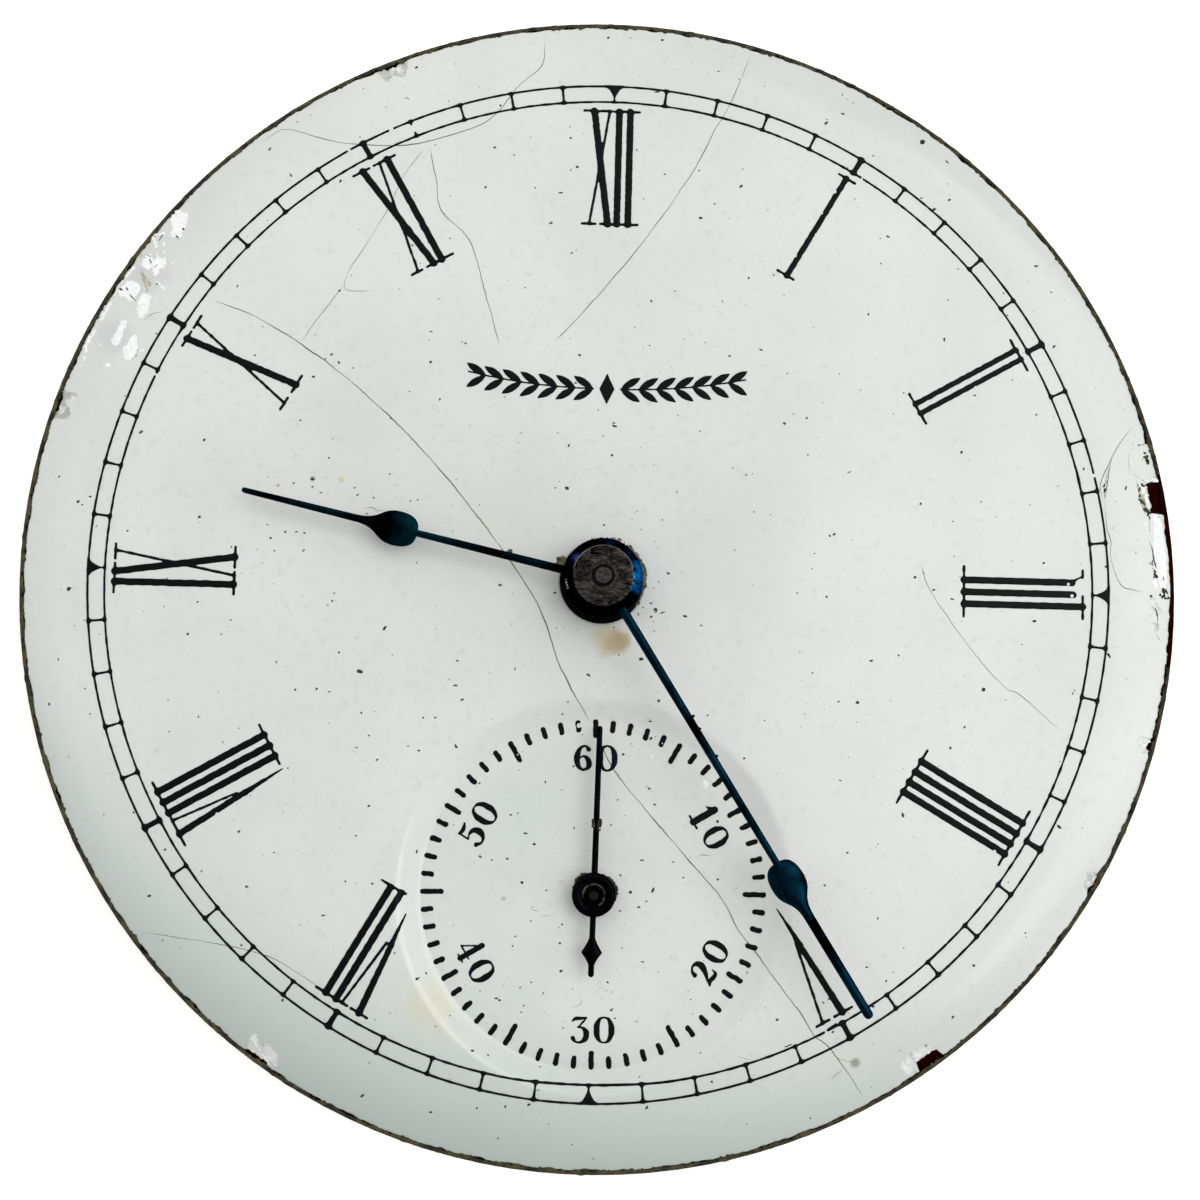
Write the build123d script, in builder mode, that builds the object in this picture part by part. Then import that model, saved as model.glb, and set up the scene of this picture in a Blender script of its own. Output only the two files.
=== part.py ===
from build123d import *

import os
from math import acos, cos, hypot, pi, radians, sin, tan

# Enamel dial of a pocket watch, with its hands, the motion work that turns them and the pillar plate.
# Millimetres. +Z points at the viewer and +Y at XII. The origin is the middle of the plate's back face.
# A bearing is a clock bearing: degrees clockwise from XII.

os.makedirs("parts", exist_ok=True)

# Pillar plate: the dial overhangs it all round
plate_overhang = 0.745
plate_thickness = 2.6
plate_chamfer = 0.15
motion_recess_depth = 1.5
recess_room = 0.4
pocket_room = 0.2
pocket_gap = 0.15
pillar_hole_radius = 0.65
pillar_hole_inset = 1.935
pillar_hole_count = 4
pillar_hole_bearing = 45

# Main dial
dial_radius = 23.18
counter_enamel_thickness = 0.20
copper_thickness = 0.35
enamel_thickness = 0.45
copper_rim_width = 0.16
copper_rim_round = 0.12
rim_step = 0.03
margin_width = 2.28
margin_drop = 0.32
dial_hole_radius = 1.55
hole_collar_width = 0.12
collar_step = 0.05
counter_enamel_inset = 0.88
counter_enamel_hole_radius = 2.8

# Seconds dial, sunk and soldered behind the main one
sink_depth = 0.55
sink_from_centre = 5.30
sink_from_track = 0.32
sink_lip_radius = 0.40
sink_wall = 0.10
sink_gap = 0.05
seconds_rest_width = 1.05
seconds_copper_thickness = 0.25
seconds_counter_enamel_thickness = 0.20
seconds_counter_inset = 0.3
seconds_hole_radius = 0.45
solder_width = 0.30
solder_clearing = 0.2

# Dial feet and the screws that hold them
foot_bearings = (70, 215, 300)
foot_inset = 3.035
foot_radius = 0.55
foot_length = 2.3
foot_collar_radius = 1.1
foot_clearance = 0.05
screw_shank_radius = 0.40
screw_head_radius = 0.80
screw_head_length = 0.60
screw_head_clearance = 0.08
screw_sink = 0.15
screw_tip_gap = 0.03
screw_slot_width = 0.25
screw_slot_depth = 0.25

# Fired marks of the main dial
ink_thickness = 0.03
track_inset = 2.80
track_width = 0.66
track_line_width = 0.085
minute_mark_width = 0.12
hour_mark_width = 0.23
quarter_mark_width = 0.50
minutes_in_hour = 60
minutes_between_hours = 5

# Roman numerals, from XII round: radial, tops outward. The seconds dial stands where VI would be
numeral_texts = ("XII", "I", "II", "III", "IIII", "V", "", "VII", "VIII", "IX", "X", "XI")
numeral_track_gap = 0.34
numeral_height = 4.80
numeral_stroke_width = 0.265
numeral_hairline_width = 0.090
numeral_serif_thickness = 0.075
numeral_serif_overhang = 0.25
numeral_stroke_pitch = 0.47
numeral_x_spread = 0.66
numeral_x_hair_spread = 0.80
numeral_v_spread = 0.78
numeral_x_advance = 0.72
numeral_v_advance = 0.62
short_v_rise = 0.60
# Sideways shifts, as shares of the stroke pitch
numeral_shift_shares = {"I": -0.28, "II": -0.18, "IIII": 0.32, "V": 0.30}
# Share of its height at which the two strokes of a V meet inside
v_meeting_share = 0.62

# Marks and figures of the seconds dial
seconds_mark_inset = 0.27
seconds_mark_width = 0.17
second_mark_length = 0.49
ten_mark_length = 0.75
five_mark_length = 0.95
figure_inset = 1.48
figure_height = 0.97
figure_advance = 0.90
seconds_figure_texts = ("60", "10", "20", "30", "40", "50")
figures_read_inward = ("20", "30", "40")

# Laurel spray below XII
ornament_distance = 7.8
ornament_reach = 5.6
ornament_rise = 0.55
ornament_lozenge_width = 0.62
ornament_lozenge_height = 1.30
ornament_stem_start = 0.55
ornament_stem_width = 0.07
leaf_count = 7
leaf_length = 0.95
leaf_width = 0.30
leaf_angle = 32
berry_radius = 0.07

# Motion work
centre_distance = 4.8
stud_bearing = 60
cannon_leaves = 12
minute_wheel_teeth = 36
minute_pinion_leaves = 12
hour_wheel_teeth = 48
pressure_angle = 20
# Shares of a gear's module: how far a tooth reaches past the pitch circle, and how deep the gap is
tooth_reach_share = 0.90
tooth_depth_share = 1.25
# Share of the pitch that a tooth fills; the rest of its half is backlash
tooth_width_share = 0.43
wheel_bottom_gap = 0.15
minute_wheel_thickness = 0.30
minute_pinion_length = 0.75
cannon_leaf_length = 0.65
hour_wheel_gap = 0.10
hour_wheel_thickness = 0.28
minute_wheel_hub_radius = 1.0
hour_pipe_radius = 1.10
cannon_barrel_radius = 0.75
cannon_seat_radius = 0.59
arbor_radius = 0.34
arbor_shoulder_radius = 0.50
bush_radius = 1.30
bush_flange_radius = 1.60
bush_flange_thickness = 0.05
stud_radius = 0.40
stud_stand = 0.06
stud_round = 0.06
running_clearance = 0.03
arbor_end_gap = 0.15
shoulder_step = 0.06
cannon_mouth_chamfer = 0.09
washer_inner_radius = 1.5
washer_outer_radius = 3.4
washer_thickness = 0.08
washer_gap = 0.05

# Hour and minute hands
hour_hand_bearing = 282.8
hour_boss_gap = 0.15
hour_boss_radius = 1.52
hour_boss_height = 0.90
hour_pipe_stand = 0.05
hour_blade_thickness = 0.25
hour_blade_drop = 0.05
hour_numeral_gap = 0.08
hour_bulb_round = 0.80
hour_bulb_taper = 1.72
hour_point_length = 4.50
hour_bulb_width = 1.38
hour_stem_width = 0.26
hour_neck_width = 0.28
hour_tip_width = 0.21

minute_hand_bearing = 146.6
hands_gap = 0.30
minute_boss_radius = 1.52
minute_boss_top_radius = 1.19
minute_boss_skirt = 0.30
minute_boss_height = 1.15
cannon_stand = 0.05
arbor_stand = 0.15
arbor_dome = 0.06
minute_blade_thickness = 0.25
minute_blade_rise = 0.40
minute_track_gap = 0.16
minute_bulb_round = 0.83
minute_bulb_taper = 1.60
minute_point_length = 4.45
minute_bulb_width = 1.36
minute_stem_width = 0.26
minute_neck_width = 0.33
minute_tip_width = 0.30

# Shares that shape a pear: how flat its heel is, how full its cheeks, how long its neck
pear_heel_share = 0.62
pear_cheek_share = 0.50
pear_neck_share = 0.62

# Seconds hand
seconds_hand_bearing = 1.5
seconds_hub_gap = 0.50
seconds_hub_radius = 0.86
seconds_hub_thickness = 0.30
seconds_blade_thickness = 0.18
seconds_blade_rise = 0.06
seconds_tip_gap = 0.38
seconds_stem_width = 0.25
seconds_tip_width = 0.22
tail_stem_length = 1.63
tail_lozenge_rise = 0.60
tail_lozenge_fall = 0.50
tail_lozenge_width = 0.83
tail_stub_length = 0.44
tail_width = 0.23
# Share of a lozenge's side along which it stays hollow
tail_hollow_share = 0.45
seconds_pipe_radius = 0.33
seconds_pipe_gap = 0.15
seconds_pipe_stand = 0.08
pivot_radius = 0.17
pivot_stand = 0.06
pivot_clearance = 0.02
seconds_arbor_radius = 0.35
seconds_arbor_room = 0.25
jewel_radius = 0.75
jewel_thickness = 0.45
jewel_oil_sink = 0.12

# Length by which a cut runs past what it cuts
overrun = 0.5

# Heights, from the plate's back face up
motion_floor = plate_thickness - motion_recess_depth
counter_back = plate_thickness
copper_back = counter_back + counter_enamel_thickness
copper_front = copper_back + copper_thickness
dial_face = copper_front + enamel_thickness
margin_foot = dial_face - margin_drop
seconds_face = dial_face - sink_depth
seconds_copper_back = copper_back - seconds_copper_thickness
seconds_back = seconds_copper_back - seconds_counter_enamel_thickness
pocket_floor = seconds_back - pocket_gap

wheel_bottom = motion_floor + wheel_bottom_gap
minute_wheel_top = wheel_bottom + minute_wheel_thickness
minute_pinion_top = minute_wheel_top + minute_pinion_length
cannon_leaf_top = wheel_bottom + cannon_leaf_length
hour_wheel_bottom = cannon_leaf_top + hour_wheel_gap
hour_wheel_top = hour_wheel_bottom + hour_wheel_thickness
hour_boss_bottom = dial_face + hour_boss_gap
hour_boss_top = hour_boss_bottom + hour_boss_height
hour_pipe_top = hour_boss_top + hour_pipe_stand
minute_boss_bottom = hour_boss_top + hands_gap
minute_boss_top = minute_boss_bottom + minute_boss_height
cannon_top = minute_boss_top + cannon_stand
arbor_top = cannon_top + arbor_stand
arbor_bottom = arbor_end_gap
arbor_shoulder = wheel_bottom - shoulder_step

seconds_hub_bottom = seconds_face + seconds_hub_gap
seconds_hub_top = seconds_hub_bottom + seconds_hub_thickness
seconds_pipe_bottom = seconds_face + seconds_pipe_gap
seconds_pipe_top = seconds_hub_top + seconds_pipe_stand
pivot_top = seconds_pipe_top + pivot_stand
jewel_bottom = pocket_floor - jewel_thickness
pivot_shoulder = jewel_bottom - shoulder_step

# Radii and lengths that follow from the sizes above
plate_radius = dial_radius - plate_overhang
pillar_hole_circle_radius = plate_radius - pillar_hole_inset
foot_circle_radius = plate_radius - foot_inset
track_outer_radius = dial_radius - track_inset
track_inner_radius = track_outer_radius - track_width
numeral_outer_radius = track_inner_radius - numeral_track_gap
sink_radius = (track_inner_radius - sink_from_track - sink_from_centre) / 2
seconds_offset = sink_from_centre + sink_radius
seconds_mark_radius = sink_radius - seconds_mark_inset
figure_circle_radius = seconds_mark_radius - figure_inset
hour_reach = numeral_outer_radius - numeral_height - hour_numeral_gap
hour_stem_length = hour_reach - hour_point_length - hour_bulb_taper - hour_bulb_round
minute_reach = track_inner_radius - minute_track_gap
minute_stem_length = minute_reach - minute_point_length - minute_bulb_taper - minute_bulb_round
seconds_hand_length = seconds_mark_radius - seconds_tip_gap
margin_start_radius = dial_radius - copper_rim_width - margin_width
enamel_edge_radius = dial_radius - copper_rim_width
enamel_hole_radius = dial_hole_radius + hole_collar_width
copper_sink_radius = sink_radius + sink_wall
seconds_copper_radius = copper_sink_radius + seconds_rest_width
solder_radius = seconds_copper_radius + solder_width
pocket_radius = solder_radius + pocket_room
hour_bore_radius = cannon_barrel_radius + running_clearance
bush_bore_radius = arbor_shoulder_radius + running_clearance
stud_bore_radius = stud_radius + running_clearance
jewel_bore_radius = pivot_radius + pivot_clearance
cannon_module = 2 * centre_distance / (cannon_leaves + minute_wheel_teeth)
hour_module = 2 * centre_distance / (minute_pinion_leaves + hour_wheel_teeth)

seconds_centre = (0, -seconds_offset)
stud_centre = (centre_distance * sin(radians(stud_bearing)), centre_distance * cos(radians(stud_bearing)))
stud_angle = 90 - stud_bearing


def bearing_plane(bearing, distance, height, centre=(0, 0), inward=False):
    """A level plane at a clock bearing, whose +Y points outward, or inward."""
    turn = radians(bearing)
    x = centre[0] + distance * sin(turn)
    y = centre[1] + distance * cos(turn)
    if inward:
        turn += pi
    return Plane(origin=(x, y, height), x_dir=(cos(turn), -sin(turn), 0), z_dir=(0, 0, 1))


def edge_plane(bearing, distance, height):
    """An upright plane at a clock bearing, whose normal points outward."""
    turn = radians(bearing)
    outward = (sin(turn), cos(turn), 0)
    origin = (distance * sin(turn), distance * cos(turn), height)
    return Plane(origin=origin, x_dir=(cos(turn), -sin(turn), 0), z_dir=outward)


def side_plane(centre=(0, 0)):
    """An upright plane through an upright axis: its x is the radius and its y the height."""
    return Plane(origin=(centre[0], centre[1], 0), x_dir=(1, 0, 0), z_dir=(0, -1, 0))


def upright_axis(centre=(0, 0)):
    """The upright axis through a point of the plate."""
    return Axis((centre[0], centre[1], 0), (0, 0, 1))


def profile(corners, centre=(0, 0)):
    """A closed outline of (radius, height) corners, ready to be turned about its axis."""
    with BuildSketch(side_plane(centre)) as outline:
        with BuildLine():
            Polyline(*corners, close=True)
        make_face()
    return outline.sketch


def involute(angle):
    """The involute function of an angle in radians."""
    return tan(angle) - angle


def gear_face(teeth, module, first_tooth_angle, bore_radius):
    """The face of a gear with involute flanks; the first tooth points along the given angle."""
    pressure = radians(pressure_angle)
    pitch_radius = module * teeth / 2
    base_radius = pitch_radius * cos(pressure)
    tip_radius = pitch_radius + tooth_reach_share * module
    root_radius = pitch_radius - tooth_depth_share * module
    half_at_pitch = pi * tooth_width_share / teeth
    middle_radius = (pitch_radius + tip_radius) / 2
    flank = []
    for radius in (root_radius, base_radius, pitch_radius, middle_radius, tip_radius):
        if radius < root_radius:
            continue
        opening = acos(min(1, base_radius / radius))
        flank.append((radius, half_at_pitch + involute(pressure) - involute(opening)))
    corners = []
    for tooth in range(teeth):
        middle = radians(first_tooth_angle) + 2 * pi * tooth / teeth
        for radius, half in flank:
            corners.append((radius * cos(middle - half), radius * sin(middle - half)))
        for radius, half in reversed(flank):
            corners.append((radius * cos(middle + half), radius * sin(middle + half)))
    with BuildSketch(Plane.XY) as gear:
        with BuildLine():
            Polyline(*corners, close=True)
        make_face()
        Circle(bore_radius, mode=Mode.SUBTRACT)
    return gear.sketch


def straight_face(*corners):
    """A flat face with straight sides."""
    with BuildSketch(Plane.XY) as face:
        with BuildLine():
            Polyline(*corners, close=True)
        make_face()
    return face.sketch


def leaning_stroke(top_x, bottom_x, width, top_y, bottom_y):
    """A straight pen stroke between two heights, level at both ends."""
    half = width / 2
    return straight_face(
        (top_x - half, top_y), (top_x + half, top_y),
        (bottom_x + half, bottom_y), (bottom_x - half, bottom_y),
    )


def serif(x, stroke_width, y):
    """The hairline across a stroke's end."""
    half = stroke_width / 2 + numeral_serif_overhang
    low, high = y - numeral_serif_thickness / 2, y + numeral_serif_thickness / 2
    return straight_face((x - half, low), (x + half, low), (x + half, high), (x - half, high))


def numeral_strokes(text):
    """Every stroke and serif of a Roman numeral, about its middle, with its top at y = 0."""
    top, bottom = 0, -numeral_height
    advance = {"I": numeral_stroke_pitch, "X": numeral_x_advance, "V": numeral_v_advance}
    places = [0]
    for letter, following in zip(text, text[1:]):
        step = advance[letter] if letter != "I" else advance[following]
        places.append(places[-1] + step)
    stroke, hair = numeral_stroke_width, numeral_hairline_width
    faces = []
    ends = []
    for letter, x in zip(text, places):
        if letter == "I":
            faces.append(leaning_stroke(x, x, stroke, top, bottom))
            ends += [(x, stroke, top), (x, stroke, bottom)]
        if letter == "X":
            thick, thin = numeral_x_spread / 2, numeral_x_hair_spread / 2
            faces.append(leaning_stroke(x - thick, x + thick, stroke, top, bottom))
            faces.append(leaning_stroke(x + thin, x - thin, hair, top, bottom))
            ends += [(x - thick, stroke, top), (x + thin, hair, top)]
            ends += [(x + thick, stroke, bottom), (x - thin, hair, bottom)]
        if letter == "V":
            spread = numeral_v_spread / 2
            point = bottom + short_v_rise if text == "VII" else bottom
            outer_left, outer_right = x - spread - stroke / 2, x + spread + hair / 2
            inner_left, inner_right = x - spread + stroke / 2, x + spread - hair / 2
            cross = top + (point - top) * v_meeting_share
            nib = hair / 2
            faces.append(straight_face(
                (outer_left, top), (inner_left, top), (x + nib, cross), (inner_right, top),
                (outer_right, top), (x + nib, point), (x - nib, point),
            ))
            ends += [(x - spread, stroke, top), (x + spread, hair, top)]
    faces += [serif(x, width, y) for x, width, y in ends]
    low = min(x - width / 2 for x, width, y in ends)
    high = max(x + width / 2 for x, width, y in ends)
    shift = numeral_shift_shares.get(text, 0) * numeral_stroke_pitch
    return faces, shift - (low + high) / 2


def pen_stroke(points, widths):
    """A curved pen stroke through points, with a width at each."""
    left, right = [], []
    for index, (x, y) in enumerate(points):
        before = points[max(index - 1, 0)]
        after = points[min(index + 1, len(points) - 1)]
        run, rise = after[0] - before[0], after[1] - before[1]
        scale = widths[index] / 2 / hypot(run, rise)
        left.append((x - rise * scale, y + run * scale))
        right.append((x + rise * scale, y - run * scale))
    right.reverse()
    with BuildSketch(Plane.XY) as stroke:
        with BuildLine():
            Spline(*left)
            Line(left[-1], right[0])
            Spline(*right)
            Line(right[-1], left[0])
        make_face()
    return stroke.sketch


# Figures, as shares of their height: each stroke has its points and, for each point, its width.
# They stand on y = 0 about the middle of their width.
figure_stroke_shares = {
    "1": (
        (((0, 0.03), (0, 0.97)), (0.19, 0.19)),
        (((-0.27, 0.75), (-0.17, 0.80), (-0.04, 0.94)), (0.03, 0.08, 0.10)),
        (((-0.27, 0.03), (0.27, 0.03)), (0.06, 0.06)),
    ),
    "2": (
        (
            (
                (-0.22, 0.72), (-0.16, 0.87), (0, 0.955), (0.17, 0.88), (0.21, 0.68), (0.05, 0.42),
                (-0.19, 0.16),
            ),
            (0.13, 0.08, 0.06, 0.13, 0.18, 0.13, 0.05),
        ),
        (
            ((-0.27, 0.04), (-0.12, 0.12), (0.06, 0.07), (0.22, 0.08), (0.30, 0.26)),
            (0.05, 0.12, 0.13, 0.09, 0.03),
        ),
        (((-0.19, 0.16), (-0.27, 0.04)), (0.05, 0.05)),
    ),
    "3": (
        (((-0.26, 0.82), (-0.14, 0.91), (0.06, 0.92), (0.27, 0.96)), (0.05, 0.10, 0.09, 0.04)),
        (((0.27, 0.95), (-0.03, 0.60)), (0.05, 0.05)),
        (
            (
                (-0.05, 0.60), (0.12, 0.57), (0.25, 0.42), (0.23, 0.18), (0.04, 0.04), (-0.15, 0.07),
                (-0.24, 0.19),
            ),
            (0.05, 0.08, 0.15, 0.15, 0.07, 0.07, 0.13),
        ),
    ),
    "4": (
        (((0.13, 0.96), (-0.30, 0.30)), (0.05, 0.05)),
        (((-0.33, 0.29), (0.33, 0.29)), (0.06, 0.06)),
        (((0.13, 0.99), (0.13, 0.03)), (0.17, 0.17)),
        (((-0.06, 0.03), (0.32, 0.03)), (0.06, 0.06)),
    ),
    "5": (
        (((-0.20, 0.93), (0, 0.88), (0.22, 0.96)), (0.08, 0.12, 0.05)),
        (((-0.20, 0.95), (-0.22, 0.54)), (0.05, 0.05)),
        (
            (
                (-0.22, 0.53), (-0.03, 0.60), (0.18, 0.52), (0.24, 0.30), (0.11, 0.08), (-0.09, 0.04),
                (-0.24, 0.17),
            ),
            (0.04, 0.07, 0.14, 0.18, 0.10, 0.06, 0.13),
        ),
    ),
    "6": (
        (
            ((0.21, 0.83), (0.09, 0.955), (-0.11, 0.86), (-0.23, 0.55), (-0.18, 0.20), (0, 0.04)),
            (0.13, 0.06, 0.10, 0.17, 0.13, 0.06),
        ),
        (
            ((-0.01, 0.04), (0.18, 0.13), (0.23, 0.32), (0.13, 0.52), (-0.03, 0.56), (-0.18, 0.42)),
            (0.05, 0.11, 0.16, 0.11, 0.05, 0.04),
        ),
    ),
}
zero_outer_shares = (0.355, 0.50)
zero_inner_shares = (0.185, 0.455)


def figure_faces(letter):
    """The strokes of one figure at its real height, standing on y = 0."""
    tall = figure_height
    if letter == "0":
        with BuildSketch(Plane.XY) as zero:
            with Locations((0, tall / 2)):
                Ellipse(zero_outer_shares[0] * tall, zero_outer_shares[1] * tall)
                Ellipse(zero_inner_shares[0] * tall, zero_inner_shares[1] * tall, mode=Mode.SUBTRACT)
        return [zero.sketch]
    faces = []
    for point_shares, width_shares in figure_stroke_shares[letter]:
        points = [(x * tall, y * tall) for x, y in point_shares]
        faces.append(pen_stroke(points, [width * tall for width in width_shares]))
    return faces


def pear_hand_face(stem, bulb_round, bulb_taper, point, bulb_width, stem_width, neck_width, tip_width):
    """A hand along +Y: a stem, a pear that is round towards the middle, and a long point."""
    widest = stem + bulb_round
    neck = widest + bulb_taper
    tip = neck + point - tip_width / 2
    bulb_half, stem_half = bulb_width / 2, stem_width / 2
    neck_half, tip_half = neck_width / 2, tip_width / 2
    shoulder = tip_half * sin(pi / 4)
    with BuildSketch(Plane.XY) as hand:
        with BuildLine():
            Line((0, 0), (stem_half, 0))
            Line((stem_half, 0), (stem_half, stem))
            Bezier(
                (stem_half, stem),
                (stem_half + pear_heel_share * bulb_half, stem),
                (bulb_half, widest - pear_cheek_share * bulb_round),
                (bulb_half, widest),
            )
            Bezier(
                (bulb_half, widest),
                (bulb_half, widest + pear_cheek_share * bulb_taper),
                (neck_half, neck - pear_neck_share * bulb_taper),
                (neck_half, neck),
            )
            Line((neck_half, neck), (tip_half, tip))
            ThreePointArc((tip_half, tip), (shoulder, tip + shoulder), (0, tip + tip_half))
            Line((0, tip + tip_half), (0, 0))
        make_face()
        mirror(about=Plane.YZ)
    return hand.sketch

# Pillar plate: carries the dial on its front face and the arbors in the middle
screw_height = plate_thickness / 2
screw_tip_distance = foot_circle_radius + foot_radius + screw_tip_gap
screw_top_distance = plate_radius - screw_sink
screw_head_distance = screw_top_distance - screw_head_length
hour_tip_radius = hour_module * hour_wheel_teeth / 2 + tooth_reach_share * hour_module
minute_tip_radius = cannon_module * minute_wheel_teeth / 2 + tooth_reach_share * cannon_module
foot_hole_radius = foot_radius + foot_clearance
screw_recess_radius = screw_head_radius + screw_head_clearance
with BuildPart() as pillar_plate:
    with BuildSketch(Plane.XY):
        Circle(plate_radius)
    extrude(amount=plate_thickness)
    chamfer(pillar_plate.edges().filter_by(GeomType.CIRCLE), plate_chamfer)
    with BuildSketch(Plane.XY.offset(motion_floor)):
        Circle(hour_tip_radius + recess_room)
        with Locations(stud_centre):
            Circle(minute_tip_radius + recess_room)
    extrude(amount=motion_recess_depth + overrun, mode=Mode.SUBTRACT)
    with BuildSketch(Plane.XY.offset(pocket_floor)):
        with Locations(seconds_centre):
            Circle(pocket_radius)
    extrude(amount=plate_thickness - pocket_floor + overrun, mode=Mode.SUBTRACT)
    with BuildSketch(Plane.XY.offset(jewel_bottom)):
        with Locations(seconds_centre):
            Circle(jewel_radius)
    extrude(amount=jewel_thickness + overrun, mode=Mode.SUBTRACT)
    with BuildSketch(Plane.XY):
        Circle(bush_radius)
        with Locations(stud_centre):
            Circle(stud_radius)
        with Locations(seconds_centre):
            Circle(seconds_arbor_radius + seconds_arbor_room)
        for bearing in foot_bearings:
            with Locations(bearing_plane(bearing, foot_circle_radius, 0).origin):
                Circle(foot_hole_radius)
        with PolarLocations(pillar_hole_circle_radius, pillar_hole_count, start_angle=pillar_hole_bearing):
            Circle(pillar_hole_radius)
    extrude(amount=plate_thickness, mode=Mode.SUBTRACT)
    for bearing in foot_bearings:
        with BuildSketch(edge_plane(bearing, foot_circle_radius, screw_height)):
            Circle(screw_shank_radius)
        extrude(amount=plate_radius - foot_circle_radius, mode=Mode.SUBTRACT)
        with BuildSketch(edge_plane(bearing, screw_head_distance, screw_height)):
            Circle(screw_recess_radius)
        extrude(amount=plate_radius - screw_head_distance + overrun, mode=Mode.SUBTRACT)
pillar_plate.part.label = "pillar_plate"
export_step(pillar_plate.part, "parts/pillar_plate.step")

# Dial-foot screws: each bears on its foot from the plate's edge
with BuildPart() as dial_foot_screws:
    for bearing in foot_bearings:
        with BuildSketch(edge_plane(bearing, screw_tip_distance, screw_height)):
            Circle(screw_shank_radius)
        extrude(amount=screw_head_distance - screw_tip_distance)
        with BuildSketch(edge_plane(bearing, screw_head_distance, screw_height)):
            Circle(screw_head_radius)
        extrude(amount=screw_head_length)
        with BuildSketch(edge_plane(bearing, screw_top_distance - screw_slot_depth, screw_height)):
            Rectangle(2 * screw_head_radius + overrun, screw_slot_width)
        extrude(amount=screw_slot_depth + overrun, mode=Mode.SUBTRACT)
dial_foot_screws.part.label = "dial_foot_screws"
export_step(dial_foot_screws.part, "parts/dial_foot_screws.step")

# Centre bush: pressed into the plate from the dial side
with BuildPart() as centre_bush:
    revolve(profile((
        (bush_bore_radius, 0), (bush_radius, 0), (bush_radius, motion_floor),
        (bush_flange_radius, motion_floor), (bush_flange_radius, motion_floor + bush_flange_thickness),
        (bush_bore_radius, motion_floor + bush_flange_thickness),
    )), axis=upright_axis())
centre_bush.part.label = "centre_bush"
export_step(centre_bush.part, "parts/centre_bush.step")

# Seconds jewel: a pierced ruby with an oil sink in its upper face
with BuildPart() as seconds_jewel:
    revolve(profile((
        (jewel_bore_radius, jewel_bottom), (jewel_radius, jewel_bottom), (jewel_radius, pocket_floor),
        (jewel_bore_radius + 2 * jewel_oil_sink, pocket_floor),
        (jewel_bore_radius, pocket_floor - jewel_oil_sink),
    ), seconds_centre), axis=upright_axis(seconds_centre))
seconds_jewel.part.label = "seconds_jewel"
export_step(seconds_jewel.part, "parts/seconds_jewel.step")

# Minute stud: pressed into the plate, the minute wheel turns on it
stud_top = minute_pinion_top + stud_stand
with BuildPart() as minute_stud:
    revolve(profile((
        (0, 0), (stud_radius, 0), (stud_radius, stud_top), (0, stud_top),
    ), stud_centre), axis=upright_axis(stud_centre))
    fillet(minute_stud.edges().filter_by(GeomType.CIRCLE).sort_by(Axis.Z)[-1], stud_round)
minute_stud.part.label = "minute_stud"
export_step(minute_stud.part, "parts/minute_stud.step")

# Main dial's copper: a disc with a turned-up rim, a collar round its middle hole and the sink's hole
with BuildPart() as dial_copper:
    with BuildSketch(Plane.XY.offset(copper_back)):
        Circle(dial_radius)
    extrude(amount=margin_foot - rim_step - copper_back)
    fillet(dial_copper.edges().filter_by(GeomType.CIRCLE).sort_by(Axis.Z)[0], copper_rim_round)
    with BuildSketch(Plane.XY.offset(copper_front)):
        Circle(enamel_edge_radius)
    extrude(amount=enamel_thickness, mode=Mode.SUBTRACT)
    with BuildSketch(Plane.XY.offset(copper_back)):
        Circle(enamel_hole_radius)
    extrude(amount=dial_face - collar_step - copper_back)
    with BuildSketch(Plane.XY.offset(copper_back)):
        Circle(dial_hole_radius)
        with Locations(seconds_centre):
            Circle(copper_sink_radius)
    extrude(amount=copper_thickness + enamel_thickness, mode=Mode.SUBTRACT)
dial_copper.part.label = "dial_copper"
export_step(dial_copper.part, "parts/dial_copper.step")

# Front enamel: level over the track and numerals, domed down at the margin, rounded into the sink
# and a little way down the copper's edge there
margin_length = enamel_edge_radius - margin_start_radius
margin_curve_radius = (margin_length**2 + margin_drop**2) / (2 * margin_drop)
margin_half_length = margin_length / 2
margin_half_drop = margin_curve_radius - (margin_curve_radius**2 - margin_half_length**2) ** (1 / 2)
with BuildPart() as front_enamel:
    with BuildSketch(side_plane()):
        with BuildLine():
            Line((enamel_hole_radius, copper_front), (enamel_hole_radius, dial_face))
            Line((enamel_hole_radius, dial_face), (margin_start_radius, dial_face))
            ThreePointArc(
                (margin_start_radius, dial_face),
                (margin_start_radius + margin_half_length, dial_face - margin_half_drop),
                (enamel_edge_radius, margin_foot),
            )
            Line((enamel_edge_radius, margin_foot), (enamel_edge_radius, copper_front))
            Line((enamel_edge_radius, copper_front), (enamel_hole_radius, copper_front))
        make_face()
    revolve(axis=upright_axis())
    with BuildSketch(Plane.XY.offset(copper_front)):
        with Locations(seconds_centre):
            Circle(sink_radius)
    extrude(amount=enamel_thickness, mode=Mode.SUBTRACT)
    circles = front_enamel.edges().filter_by(GeomType.CIRCLE)
    sink_circles = circles.filter_by(lambda edge: abs(edge.radius - sink_radius) < sink_gap)
    fillet(sink_circles.sort_by(Axis.Z)[-1], sink_lip_radius)
    with BuildSketch(Plane.XY.offset(copper_back)):
        with Locations(seconds_centre):
            Circle(copper_sink_radius)
            Circle(sink_radius, mode=Mode.SUBTRACT)
    extrude(amount=copper_thickness)
front_enamel.part.label = "front_enamel"
export_step(front_enamel.part, "parts/front_enamel.step")

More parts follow.
